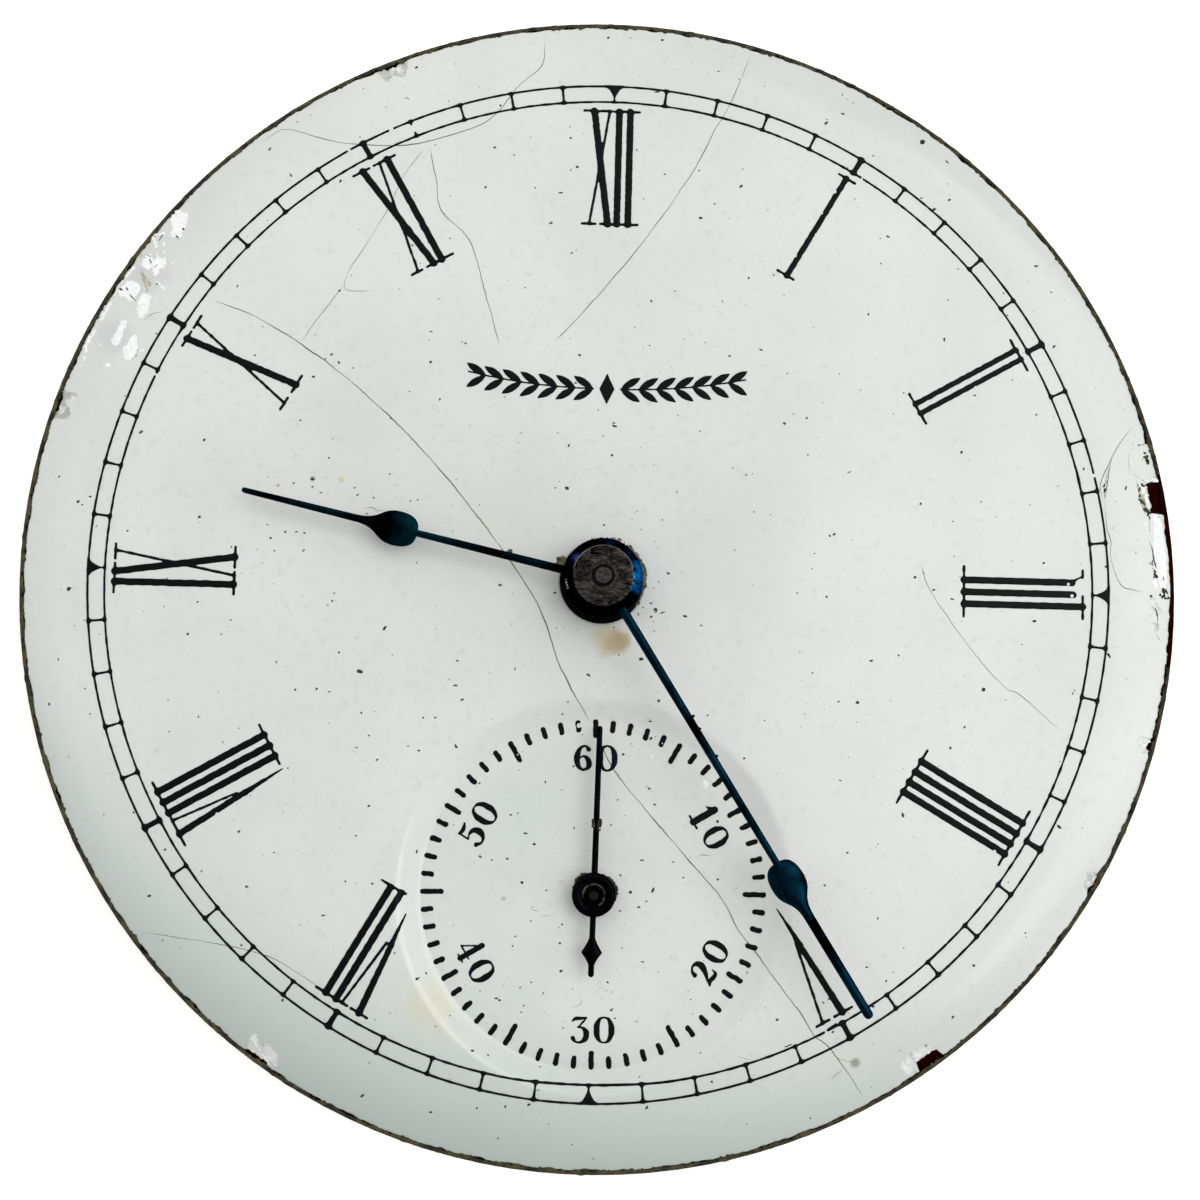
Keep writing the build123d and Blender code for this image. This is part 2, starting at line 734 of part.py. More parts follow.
# Counter enamel on the back, ground away round the middle, the feet and the seconds dial
with BuildPart() as counter_enamel:
    with BuildSketch(Plane.XY.offset(counter_back)):
        Circle(dial_radius - counter_enamel_inset)
        Circle(counter_enamel_hole_radius, mode=Mode.SUBTRACT)
        with Locations(seconds_centre):
            Circle(solder_radius + solder_clearing, mode=Mode.SUBTRACT)
        for bearing in foot_bearings:
            with Locations(bearing_plane(bearing, foot_circle_radius, 0).origin):
                Circle(foot_collar_radius + foot_clearance, mode=Mode.SUBTRACT)
    extrude(amount=counter_enamel_thickness)
counter_enamel.part.label = "counter_enamel"
export_step(counter_enamel.part, "parts/counter_enamel.step")

# Seconds dial: copper against the back of the main copper, enamel up inside the hole, counter enamel
with BuildPart() as seconds_copper:
    with BuildSketch(Plane.XY.offset(seconds_copper_back)):
        with Locations(seconds_centre):
            Circle(seconds_copper_radius)
            Circle(seconds_hole_radius, mode=Mode.SUBTRACT)
    extrude(amount=seconds_copper_thickness)
seconds_copper.part.label = "seconds_copper"
export_step(seconds_copper.part, "parts/seconds_copper.step")

with BuildPart() as seconds_enamel:
    with BuildSketch(Plane.XY.offset(copper_back)):
        with Locations(seconds_centre):
            Circle(sink_radius - sink_gap)
            Circle(seconds_hole_radius, mode=Mode.SUBTRACT)
    extrude(amount=seconds_face - copper_back)
    fillet(seconds_enamel.edges().filter_by(GeomType.CIRCLE).group_by(Axis.Z)[-1], sink_gap)
seconds_enamel.part.label = "seconds_enamel"
export_step(seconds_enamel.part, "parts/seconds_enamel.step")

with BuildPart() as seconds_counter_enamel:
    with BuildSketch(Plane.XY.offset(seconds_back)):
        with Locations(seconds_centre):
            Circle(seconds_copper_radius - seconds_counter_inset)
            Circle(seconds_hole_radius + seconds_counter_inset, mode=Mode.SUBTRACT)
    extrude(amount=seconds_counter_enamel_thickness)
seconds_counter_enamel.part.label = "seconds_counter_enamel"
export_step(seconds_counter_enamel.part, "parts/seconds_counter_enamel.step")

# Solder: a fillet of soft solder between the seconds copper's edge and the main copper's back
with BuildPart() as solder_ring:
    revolve(profile((
        (seconds_copper_radius, seconds_copper_back), (seconds_copper_radius, copper_back),
        (solder_radius, copper_back),
    ), seconds_centre), axis=upright_axis(seconds_centre))
solder_ring.part.label = "solder_ring"
export_step(solder_ring.part, "parts/solder_ring.step")

# Dial feet: copper pins with a collar, brazed to the back of the copper
foot_end = copper_back - foot_length
for number, bearing in enumerate(foot_bearings, start=1):
    foot_origin = bearing_plane(bearing, foot_circle_radius, 0).origin
    foot_centre = (foot_origin.X, foot_origin.Y)
    with BuildPart() as dial_foot:
        revolve(profile((
            (0, foot_end), (foot_radius, foot_end), (foot_radius, counter_back),
            (foot_collar_radius, counter_back), (foot_collar_radius, copper_back), (0, copper_back),
        ), foot_centre), axis=upright_axis(foot_centre))
    dial_foot.part.label = f"dial_foot_{number}"
    export_step(dial_foot.part, f"parts/dial_foot_{number}.step")

# Roman numerals, fired on the main dial
with BuildPart() as hour_numerals:
    for hour, text in enumerate(numeral_texts):
        if not text:
            continue
        faces, shift = numeral_strokes(text)
        bearing = 360 * hour / len(numeral_texts)
        with BuildSketch(bearing_plane(bearing, numeral_outer_radius, dial_face)):
            with Locations((shift, 0)):
                for face in faces:
                    add(face)
        extrude(amount=ink_thickness)
hour_numerals.part.label = "hour_numerals"
export_step(hour_numerals.part, "parts/hour_numerals.step")

# Minute track: two fine circles with a mark between them at every minute
track_middle_radius = (track_outer_radius + track_inner_radius) / 2
track_depth = track_outer_radius - track_inner_radius
track_half_line = track_line_width / 2
with BuildPart() as minute_track:
    with BuildSketch(Plane.XY.offset(dial_face)):
        Circle(track_outer_radius + track_half_line)
        Circle(track_outer_radius - track_half_line, mode=Mode.SUBTRACT)
        Circle(track_inner_radius + track_half_line)
        Circle(track_inner_radius - track_half_line, mode=Mode.SUBTRACT)
        for minute in range(minutes_in_hour):
            bearing = 360 * minute / minutes_in_hour
            quarter = minute % (minutes_in_hour / 4) == 0
            width = minute_mark_width if minute % minutes_between_hours else hour_mark_width
            mark = bearing_plane(bearing, track_middle_radius, 0)
            with Locations(mark.location):
                if quarter:
                    half, rim = quarter_mark_width / 2, track_depth / 2
                    add(straight_face((-half, rim), (half, rim), (0, -rim)))
                else:
                    Rectangle(width, track_depth)
    extrude(amount=ink_thickness)
minute_track.part.label = "minute_track"
export_step(minute_track.part, "parts/minute_track.step")

# Seconds track: sixty round-ended marks that share their outer ends
with BuildPart() as seconds_track:
    for second in range(minutes_in_hour):
        bearing = 360 * second / minutes_in_hour
        length = second_mark_length
        if second % minutes_between_hours == 0:
            length = five_mark_length
        if second % (2 * minutes_between_hours) == 0:
            length = ten_mark_length
        place = bearing_plane(bearing, seconds_mark_radius - length / 2, seconds_face, seconds_centre)
        with BuildSketch(place):
            SlotOverall(length, seconds_mark_width, rotation=90)
        extrude(amount=ink_thickness)
seconds_track.part.label = "seconds_track"
export_step(seconds_track.part, "parts/seconds_track.step")

# Seconds figures: the lower three read with their tops inward
with BuildPart() as seconds_figures:
    for text in seconds_figure_texts:
        bearing = 360 * int(text) / minutes_in_hour
        inward = text in figures_read_inward
        place = bearing_plane(bearing, figure_circle_radius, seconds_face, seconds_centre, inward)
        with BuildSketch(place):
            for letter, side in zip(text, (-1, 1)):
                with Locations((side * figure_advance / 2, -figure_height / 2)):
                    for face in figure_faces(letter):
                        add(face)
        extrude(amount=ink_thickness)
seconds_figures.part.label = "seconds_figures"
export_step(seconds_figures.part, "parts/seconds_figures.step")


def leaf_face():
    """A leaf along +Y from the stem: two arcs that meet in points."""
    with BuildSketch(Plane.XY) as leaf:
        with BuildLine():
            ThreePointArc((0, 0), (leaf_width / 2, leaf_length / 2), (0, leaf_length))
            ThreePointArc((0, leaf_length), (-leaf_width / 2, leaf_length / 2), (0, 0))
        make_face()
    return leaf.sketch


# Laurel spray: two branches of paired leaves from a lozenge, with a berry at each pair
with BuildPart() as dial_ornament:
    with BuildSketch(bearing_plane(0, ornament_distance, dial_face)):
        half_width, half_height = ornament_lozenge_width / 2, ornament_lozenge_height / 2
        add(straight_face((half_width, 0), (0, half_height), (-half_width, 0), (0, -half_height)))
        stem_run = ornament_reach - ornament_stem_start
        pair_pitch = stem_run / leaf_count
        for side in (-1, 1):
            stem_points = []
            for pair in range(leaf_count + 1):
                share = pair / leaf_count
                stem_x = side * (ornament_stem_start + stem_run * share)
                stem_points.append((stem_x, ornament_rise * share**2))
            add(pen_stroke(stem_points, [ornament_stem_width] * len(stem_points)))
            for pair, point in enumerate(stem_points[:-1]):
                for lean in (-1, 1):
                    with Locations(Location(point, -side * (90 - lean * leaf_angle))):
                        add(leaf_face())
                with Locations((point[0] + side * pair_pitch / 2, point[1] + leaf_width)):
                    Circle(berry_radius)
    extrude(amount=ink_thickness)
dial_ornament.part.label = "dial_ornament"
export_step(dial_ornament.part, "parts/dial_ornament.step")

# Hour wheel: its pipe passes through the dial and carries the hour hand
with BuildPart() as hour_wheel:
    with BuildSketch(Plane.XY.offset(hour_wheel_bottom)):
        add(gear_face(hour_wheel_teeth, hour_module, stud_angle + 180 / hour_wheel_teeth, hour_bore_radius))
    extrude(amount=hour_wheel_thickness)
    with BuildSketch(Plane.XY.offset(hour_wheel_bottom)):
        Circle(hour_pipe_radius)
        Circle(hour_bore_radius, mode=Mode.SUBTRACT)
    extrude(amount=hour_pipe_top - hour_wheel_bottom)
hour_wheel.part.label = "hour_wheel"
export_step(hour_wheel.part, "parts/hour_wheel.step")

# Dial washer: a dished spring ring whose outer edge bears on the dial's back
with BuildPart() as dial_washer:
    revolve(profile((
        (washer_inner_radius, hour_wheel_top + washer_gap),
        (washer_inner_radius, hour_wheel_top + washer_gap + washer_thickness),
        (washer_outer_radius, counter_back),
        (washer_outer_radius, counter_back - washer_thickness),
    )), axis=upright_axis())
dial_washer.part.label = "dial_washer"
export_step(dial_washer.part, "parts/dial_washer.step")

# Cannon pinion: leaves at the foot, a barrel inside the hour pipe, a seat for the minute hand
with BuildPart() as cannon_pinion:
    with BuildSketch(Plane.XY.offset(wheel_bottom)):
        add(gear_face(cannon_leaves, cannon_module, stud_angle, arbor_radius))
    extrude(amount=cannon_leaf_length)
    revolve(profile((
        (arbor_radius, wheel_bottom), (cannon_barrel_radius, wheel_bottom),
        (cannon_barrel_radius, minute_boss_bottom), (cannon_seat_radius, minute_boss_bottom),
        (cannon_seat_radius, cannon_top), (arbor_radius + cannon_mouth_chamfer, cannon_top),
        (arbor_radius, cannon_top - cannon_mouth_chamfer),
    )), axis=upright_axis())
cannon_pinion.part.label = "cannon_pinion"
export_step(cannon_pinion.part, "parts/cannon_pinion.step")

# Centre arbor: runs in the bush; the cannon pinion grips its upper part
with BuildPart() as centre_arbor:
    revolve(profile((
        (0, arbor_bottom), (arbor_shoulder_radius, arbor_bottom), (arbor_shoulder_radius, arbor_shoulder),
        (arbor_radius, arbor_shoulder), (arbor_radius, arbor_top), (0, arbor_top),
    )), axis=upright_axis())
    fillet(centre_arbor.edges().filter_by(GeomType.CIRCLE).sort_by(Axis.Z)[-1], arbor_dome)
centre_arbor.part.label = "centre_arbor"
export_step(centre_arbor.part, "parts/centre_arbor.step")

# Minute wheel and its pinion: the pinion's foot is riveted into the wheel
with BuildPart() as minute_wheel:
    with BuildSketch(Plane.XY.offset(wheel_bottom)):
        with Locations(stud_centre):
            first_tooth = stud_angle + 180 + 180 / minute_wheel_teeth
            add(gear_face(minute_wheel_teeth, cannon_module, first_tooth, minute_wheel_hub_radius))
    extrude(amount=minute_wheel_thickness)
minute_wheel.part.label = "minute_wheel"
export_step(minute_wheel.part, "parts/minute_wheel.step")

with BuildPart() as minute_pinion:
    with BuildSketch(Plane.XY.offset(wheel_bottom)):
        with Locations(stud_centre):
            Circle(minute_wheel_hub_radius)
            Circle(stud_bore_radius, mode=Mode.SUBTRACT)
    extrude(amount=minute_wheel_thickness)
    with BuildSketch(Plane.XY.offset(minute_wheel_top)):
        with Locations(stud_centre):
            add(gear_face(minute_pinion_leaves, hour_module, stud_angle + 180, stud_bore_radius))
    extrude(amount=minute_pinion_length)
minute_pinion.part.label = "minute_pinion"
export_step(minute_pinion.part, "parts/minute_pinion.step")

# Hour hand: a pear blade on a socket that grips the hour wheel's pipe
hour_blade_top = hour_boss_top - hour_blade_drop
with BuildPart() as hour_hand:
    revolve(profile((
        (0, hour_boss_bottom), (hour_boss_radius, hour_boss_bottom), (hour_boss_radius, hour_blade_top),
        (hour_boss_radius - hour_blade_drop, hour_boss_top), (0, hour_boss_top),
    )), axis=upright_axis())
    with BuildSketch(bearing_plane(hour_hand_bearing, 0, hour_blade_top - hour_blade_thickness)):
        add(pear_hand_face(
            hour_stem_length, hour_bulb_round, hour_bulb_taper, hour_point_length,
            hour_bulb_width, hour_stem_width, hour_neck_width, hour_tip_width,
        ))
    extrude(amount=hour_blade_thickness)
    with BuildSketch(Plane.XY.offset(hour_boss_bottom)):
        Circle(hour_pipe_radius)
    extrude(amount=hour_boss_height, mode=Mode.SUBTRACT)
hour_hand.part.label = "hour_hand"
export_step(hour_hand.part, "parts/hour_hand.step")

# Minute hand: a pear blade on a boss with a flat top and a sloping flank
boss_skirt_top = minute_boss_bottom + minute_boss_skirt
with BuildPart() as minute_hand:
    with BuildSketch(bearing_plane(minute_hand_bearing, 0, minute_boss_bottom + minute_blade_rise)):
        add(pear_hand_face(
            minute_stem_length, minute_bulb_round, minute_bulb_taper, minute_point_length,
            minute_bulb_width, minute_stem_width, minute_neck_width, minute_tip_width,
        ))
    extrude(amount=minute_blade_thickness)
    with BuildSketch(side_plane()):
        with BuildLine():
            Polyline(
                (minute_boss_top_radius, minute_boss_top), (0, minute_boss_top), (0, minute_boss_bottom),
                (minute_boss_radius, minute_boss_bottom), (minute_boss_radius, boss_skirt_top),
            )
            TangentArc(
                (minute_boss_radius, boss_skirt_top), (minute_boss_top_radius, minute_boss_top),
                tangent=(0, 1),
            )
        make_face()
    revolve(axis=upright_axis())
    with BuildSketch(Plane.XY.offset(minute_boss_bottom)):
        Circle(cannon_seat_radius)
    extrude(amount=minute_boss_height, mode=Mode.SUBTRACT)
minute_hand.part.label = "minute_hand"
export_step(minute_hand.part, "parts/minute_hand.step")


def seconds_hand_face():
    """The seconds hand along +Y: a slim tapered stem, and a tail with a lozenge and a stub."""
    stem_half, tip_half, tail_half = seconds_stem_width / 2, seconds_tip_width / 2, tail_width / 2
    lozenge_half = tail_lozenge_width / 2
    widest = tail_stem_length + tail_lozenge_rise
    lozenge_end = widest + tail_lozenge_fall
    tail_end = lozenge_end + tail_stub_length
    with BuildSketch(Plane.XY) as hand:
        with BuildLine():
            Line((0, seconds_hand_length), (tip_half, seconds_hand_length))
            Line((tip_half, seconds_hand_length), (stem_half, 0))
            Line((stem_half, 0), (tail_half, 0))
            Line((tail_half, 0), (tail_half, -tail_stem_length))
            Bezier(
                (tail_half, -tail_stem_length),
                (tail_half, -tail_stem_length - tail_hollow_share * tail_lozenge_rise),
                (lozenge_half, -widest),
            )
            Bezier(
                (lozenge_half, -widest),
                (tail_half, -lozenge_end + tail_hollow_share * tail_lozenge_fall),
                (tail_half, -lozenge_end),
            )
            Line((tail_half, -lozenge_end), (tail_half, -tail_end))
            Line((tail_half, -tail_end), (0, -tail_end))
            Line((0, -tail_end), (0, seconds_hand_length))
        make_face()
        mirror(about=Plane.YZ)
    return hand.sketch

# Seconds hand: blade, hub and tail in one piece
with BuildPart() as seconds_hand:
    blade_bottom = seconds_hub_bottom + seconds_blade_rise
    with BuildSketch(bearing_plane(seconds_hand_bearing, 0, blade_bottom, seconds_centre)):
        add(seconds_hand_face())
    extrude(amount=seconds_blade_thickness)
    with BuildSketch(Plane.XY.offset(seconds_hub_bottom)):
        with Locations(seconds_centre):
            Circle(seconds_hub_radius)
    extrude(amount=seconds_hub_thickness)
    with BuildSketch(Plane.XY.offset(seconds_hub_bottom)):
        with Locations(seconds_centre):
            Circle(seconds_pipe_radius)
    extrude(amount=seconds_hub_thickness, mode=Mode.SUBTRACT)
seconds_hand.part.label = "seconds_hand"
export_step(seconds_hand.part, "parts/seconds_hand.step")

# Seconds pipe: riveted in the hand's hub, pushed on the pivot
with BuildPart() as seconds_pipe:
    revolve(profile((
        (pivot_radius, seconds_pipe_bottom), (seconds_pipe_radius, seconds_pipe_bottom),
        (seconds_pipe_radius, seconds_pipe_top), (pivot_radius, seconds_pipe_top),
    ), seconds_centre), axis=upright_axis(seconds_centre))
seconds_pipe.part.label = "seconds_pipe"
export_step(seconds_pipe.part, "parts/seconds_pipe.step")

# Seconds arbor: its long pivot runs in the jewel and carries the hand
with BuildPart() as seconds_arbor:
    revolve(profile((
        (0, arbor_bottom), (seconds_arbor_radius, arbor_bottom), (seconds_arbor_radius, pivot_shoulder),
        (pivot_radius, pivot_shoulder), (pivot_radius, pivot_top), (0, pivot_top),
    ), seconds_centre), axis=upright_axis(seconds_centre))
seconds_arbor.part.label = "seconds_arbor"
export_step(seconds_arbor.part, "parts/seconds_arbor.step")

print("dial face at", round(dial_face, 3), "and seconds face at", round(seconds_face, 3))
print("modules", round(cannon_module, 4), round(hour_module, 4))
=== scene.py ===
# %% [markdown]
# # A chipped enamel watch dial, dressed in Blender
# The dial is a copper disc covered in white glass. Its marks are black enamel fired into that glass,
# its hands are blued steel, and behind it lie the wheels that turn them and the plate that carries it.
# The measured frame is loaded first. Every piece made below lies in that same frame, with +Z towards
# the viewer and +Y towards XII. Blender works in metres, but a dial is drawn in millimetres, so the
# pieces are drawn in millimetres and put into metres in one place.

from functools import partial
from math import ceil, cos, hypot, pi, radians, sin, sqrt

import bmesh
import bpy
import numpy as np
from mathutils import Matrix, Vector
from mathutils.geometry import delaunay_2d_cdt


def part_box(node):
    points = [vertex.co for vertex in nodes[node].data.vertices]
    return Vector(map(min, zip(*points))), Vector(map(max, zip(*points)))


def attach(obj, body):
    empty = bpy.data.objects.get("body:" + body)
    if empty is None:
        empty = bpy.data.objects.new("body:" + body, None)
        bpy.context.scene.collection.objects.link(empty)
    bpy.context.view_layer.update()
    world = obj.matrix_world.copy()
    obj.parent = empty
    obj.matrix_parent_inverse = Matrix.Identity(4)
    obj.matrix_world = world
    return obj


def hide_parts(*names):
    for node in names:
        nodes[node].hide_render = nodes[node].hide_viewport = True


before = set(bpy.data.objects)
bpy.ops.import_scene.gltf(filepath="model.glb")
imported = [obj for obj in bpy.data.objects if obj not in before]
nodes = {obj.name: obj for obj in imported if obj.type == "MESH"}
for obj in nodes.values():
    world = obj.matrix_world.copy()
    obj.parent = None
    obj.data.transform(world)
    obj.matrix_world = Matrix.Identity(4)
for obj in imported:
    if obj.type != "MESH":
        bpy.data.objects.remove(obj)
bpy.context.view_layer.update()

# %% [markdown]
# The sizes that several pieces share are read from the frame's nodes, so the dressed pieces
# stay where the measured ones are. A bearing is a clock bearing: degrees clockwise from XII.

# %% Shared sizes
mm = 0.001


def top_of(node):
    """The highest point of a node, in millimetres."""
    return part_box(node)[1].z / mm


def bottom_of(node):
    """The lowest point of a node, in millimetres."""
    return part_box(node)[0].z / mm


def radius_of(node):
    """Half the width of a round node, in millimetres."""
    low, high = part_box(node)
    return (high.x - low.x) / 2 / mm


def middle_of(node):
    """The middle of a node, seen from the front, in millimetres."""
    low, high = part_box(node)
    return ((low.x + high.x) / 2 / mm, (low.y + high.y) / 2 / mm)


def at_bearing(bearing, distance, centre=(0, 0)):
    """The point at a clock bearing and a distance from a centre."""
    turn = np.radians(bearing)
    return centre[0] + distance * np.sin(turn), centre[1] + distance * np.cos(turn)


dial_radius = radius_of("dial_copper")
copper_back = bottom_of("dial_copper")
enamel_thickness = 0.45
dial_face = top_of("front_enamel")
copper_front = dial_face - enamel_thickness
seconds_face = top_of("seconds_enamel")
seconds_middle = middle_of("seconds_enamel")
ink_thickness = top_of("hour_numerals") - dial_face
print("dial face", round(dial_face, 3), "seconds face", round(seconds_face, 3), "mm")

# %% [markdown]
# ## Camera
# The photograph was taken from about 61 mm in front of the face, a little below the middle, and turned
# by 1.5 degrees. Those values were solved from the sixty minute marks, so the camera is placed by them.

# %% Camera
camera_place = Vector((-1.3, -5.64, dial_face + 60.59)) * mm
camera_target = Vector((-0.056, -0.742, dial_face)) * mm
camera_roll = radians(-1.5)
camera_data = bpy.data.cameras.new("dial_camera")
camera_data.lens = 45.74
camera_data.sensor_width = 36
camera_data.clip_start = 1 * mm
camera = bpy.data.objects.new("dial_camera", camera_data)
bpy.context.scene.collection.objects.link(camera)
sight = (camera_target - camera_place).normalized()
level = sight.cross(Vector((0, 1, 0))).normalized()
upward = level.cross(sight) * cos(camera_roll) + level * sin(camera_roll)
across = sight.cross(upward)
camera.matrix_world = Matrix((
    (across.x, upward.x, -sight.x, camera_place.x),
    (across.y, upward.y, -sight.y, camera_place.y),
    (across.z, upward.z, -sight.z, camera_place.z),
    (0, 0, 0, 1),
))
bpy.context.scene.camera = camera
print("camera", round((camera_place - camera_target).length / mm, 1), "mm from its target")

# %% [markdown]
# ## Materials
# Colours are written as sRGB hex, the way a picture editor shows them, and one function turns them to the
# linear values that the shader wants. Another small function adds a node with its settings and links.

# %% Colour and node helpers


def linear(hex_colour):
    """An sRGB hex colour as the linear RGBA that a shader takes."""
    channels = [int(hex_colour[i:i + 2], 16) / 255 for i in (1, 3, 5)]
    return (*[c / 12.92 if c <= 0.04045 else ((c + 0.055) / 1.055) ** 2.4 for c in channels], 1)


def feed(node, **inputs):
    """Fills a node's inputs, by name or number: with values, hex colours or what other nodes give."""
    for key, value in inputs.items():
        if key[1:].isdigit():
            socket = node.inputs[int(key[1:])]
        else:
            socket = next(s for s in node.inputs if s.enabled and s.name == key.replace("_", " "))
        if isinstance(value, str):
            value = linear(value)
        if isinstance(value, bpy.types.Node):
            value = next(output for output in value.outputs if output.enabled)
        if isinstance(value, bpy.types.NodeSocket):
            node.id_data.links.new(value, socket)
        else:
            socket.default_value = value


def add_node(tree, kind, settings=None, **inputs):
    """Adds one shader node. Settings are its own properties; inputs are fed to its sockets."""
    node = tree.nodes.new("ShaderNode" + kind)
    for key, value in (settings or {}).items():
        setattr(node, key, value)
    feed(node, **inputs)
    return node


def new_material(name, **finish):
    """A material, what adds its nodes, its shader and the places on its piece.

    What is the same all over is set on the shader's own sockets.
    """
    material = bpy.data.materials.new(name)
    material.use_nodes = True
    add = partial(add_node, material.node_tree)
    shader = material.node_tree.nodes["Principled BSDF"]
    feed(shader, **finish)
    return material, add, shader, add("TexCoord").outputs["Object"]


# The scale of a noise node whose bumps lie one millimetre apart
one_per_mm = 1 / mm
# Settings that several nodes share
in_colour = {"data_type": "RGBA"}
smoothly = {"interpolation_type": "SMOOTHSTEP"}
multiply = {"operation": "MULTIPLY"}
print("black is", linear("#000000")[0], "and white is", linear("#ffffff")[0])

# %% [markdown]
# White vitreous enamel is glass made opaque with tin oxide, ground wet on to the copper and fired three
# or four times. It could be one flat glossy white, but the eye knows an old dial by what is in and on the
# glass: a slow unevenness of the fired surface, a faint cloudiness, and stains where oil and dust crept
# under the hands. The stains are a short list of soft spots, each broken up by noise, so that they follow
# no outline; one spot in the list is a painted reflection, and soft grey films of painted shade darken the
# margin. Chipped places are marked in the mesh itself, and the shader reads those marks.

# %% Soft patches in a colour


def patch_share(add, place, noise, ragged, middle, near, far, share_near, share_far):
    """How much of a patch's colour shows, by the distance in mm from its middle, with a ragged edge."""
    away = add("VectorMath", {"operation": "DISTANCE"}, _0=place, _1=[c * mm for c in middle])
    uneven = add("Math", {"operation": "MULTIPLY_ADD"}, _0=noise, _1=ragged * mm, _2=away)
    return add(
        "MapRange", smoothly, Value=uneven, From_Min=(near + ragged / 2) * mm,
        From_Max=(far + ragged / 2) * mm, To_Min=share_near, To_Max=share_far,
    )


# Painted shade: a thin grey film darkens the glass towards the lower left, and less towards the upper right
# and the left. Each film thickens away from a point: the point, where it starts and is full in millimetres,
# its strength
painted_shade_films = (
    ((4.0, 12.0, 3.6), 28.4, 37.5, 0.95),
    ((-7.0, -9.0, 3.6), 30.0, 34.5, 0.26),
    ((9.0, -3.0, 3.6), 28.6, 33.0, 0.2),
)
painted_shade_ragged = 1.5
# A patch is whole in the inner quarter of its reach
patch_whole = 0.25
# Stains of the main dial, and one painted reflection: colour, middle, reach and strength
main_stains_and_reflection = (
    # Oil that crept out from under the hour pipe and browned with dust
    ("#d3c7ab", (0.18, -2.28), 0.84, 0.85),
    ("#c0af8a", (0.64, -2.45), 0.66, 0.8),
    ("#b3a27c", (0.88, -2.36), 0.42, 0.6),
    # Painted reflection: a yellowish tint on the sink's soft edge at its lower left, where the roll catches
    # the light
    ("#d6d2b4", (-6.1, -16.7), 1.6, 0.45),
    # The glass among the glinting scars at the upper left is a little lavender
    ("#c9c9cd", (-18.7, 12.0), 1.3, 0.55),
    ("#c9c9cd", (-19.9, 9.3), 1.1, 0.55),
    # Yellow-green oil has soaked into the broken edge by III
    ("#b5b083", (22.6, 0.19), 0.26, 0.9),
    ("#b9b48c", (22.35, 4.95), 0.34, 0.6),
    # Small spots of rust and old oil
    ("#b98f6a", (-13.02, 3.49), 0.1, 0.8),
    ("#d3c79c", (-10.52, 3.79), 0.16, 0.7),
    ("#8d9178", (10.4, -18.6), 0.25, 0.8),
    ("#8d9178", (11.6, -19.95), 0.22, 0.7),
    ("#c9a183", (12.72, 18.55), 0.16, 0.75),
    ("#8f8a6e", (-11.67, 3.79), 0.16, 0.8),
)
seconds_stains = (("#b9b394", (-3.55, -12.65), 0.14, 0.8),)
print(len(painted_shade_films), "films and", len(main_stains_and_reflection) + len(seconds_stains), "colour_patches")

# %% White enamel


def make_enamel(name, glass_colour, colour_patches, level):
    """Fired white enamel: glossy, faintly cloudy, stained in places, with painted shade and a painted
    reflection, and rough where it is chipped.
    """
    material, add, shader, place = new_material(name, IOR=1.5)
    # The cloudiness and the fine grain of the tin oxide
    cloud = add("TexNoise", Vector=place, Scale=one_per_mm / 5, Detail=4)
    cloud_share = add("MapRange", Value=cloud, From_Min=0.35, From_Max=0.65)
    grain = add("TexNoise", Vector=place, Scale=one_per_mm / 0.35, Detail=3)
    grain_share = add("MapRange", Value=grain, From_Min=0.56, From_Max=0.74, To_Max=0.55)
    colour = add("Mix", in_colour, Factor=cloud_share, A=glass_colour, B="#e2e4e1")
    colour = add("Mix", in_colour, Factor=grain_share, A=colour, B="#d3d5d1")
    # Painted shade: grey films that darken the glass towards the margin
    for middle, start, full, strength in painted_shade_films:
        share = patch_share(add, place, cloud, painted_shade_ragged, middle, start, full, 0, strength)
        colour = add("Mix", in_colour, Factor=share, A=colour, B="#a8b4af")
    torn = add("TexNoise", Vector=place, Scale=one_per_mm / 0.8, Detail=5)
    for patch_colour, middle, reach, strength in colour_patches:
        whole = patch_whole * reach
        share = patch_share(add, place, torn, reach, (*middle, level), whole, reach, strength, 0)
        colour = add("Mix", in_colour, Factor=share, A=colour, B=patch_colour)
    # Broken glass is whiter and duller, and dirt settles in its grain
    broken = add("Attribute", {"attribute_name": "broken"}).outputs["Fac"]
    dirty = add("Attribute", {"attribute_name": "dirty"}).outputs["Fac"]
    colour = add("Mix", in_colour, Factor=broken, A=colour, B="#fcfdfc")
    gritty = add("MapRange", Value=grain, From_Min=0.42, From_Max=0.55)
    soiled = add("Math", {"operation": "MULTIPLY", "use_clamp": True}, _0=dirty, _1=gritty)
    colour = add("Mix", in_colour, Factor=soiled, A=colour, B="#5a5330")
    gloss = add("MapRange", Value=broken, To_Min=0.14, To_Max=0.42)
    # The slow swell of a fired surface, and the shards of a broken one
    waves = add("TexNoise", Vector=place, Scale=one_per_mm / 3.2, Detail=1)
    swell = add("Bump", Strength=0.5, Distance=0.004 * mm, Height=waves)
    shards = add("TexVoronoi", Vector=place, Scale=one_per_mm / 0.12)
    shard_height = add("Math", multiply, _0=shards, _1=broken)
    chipped = add("Bump", Strength=0.7, Distance=0.03 * mm, Height=shard_height, Normal=swell)
    feed(shader, Base_Color=colour, Roughness=gloss, Normal=chipped)
    print(name, len(material.node_tree.nodes), "nodes")
    return material


white_enamel = make_enamel("white_vitreous_enamel", "#dcdfdb", main_stains_and_reflection, dial_face)
sunk_enamel = make_enamel("sunk_vitreous_enamel", "#d8ddd8", seconds_stains, seconds_face)

# %% [markdown]
# The marks are black enamel, painted with a fine pen and fired until it sinks half into the white. It
# stands up a few hundredths of a millimetre with a rounded edge, and it is glossy and faintly blue.

# %% Black enamel


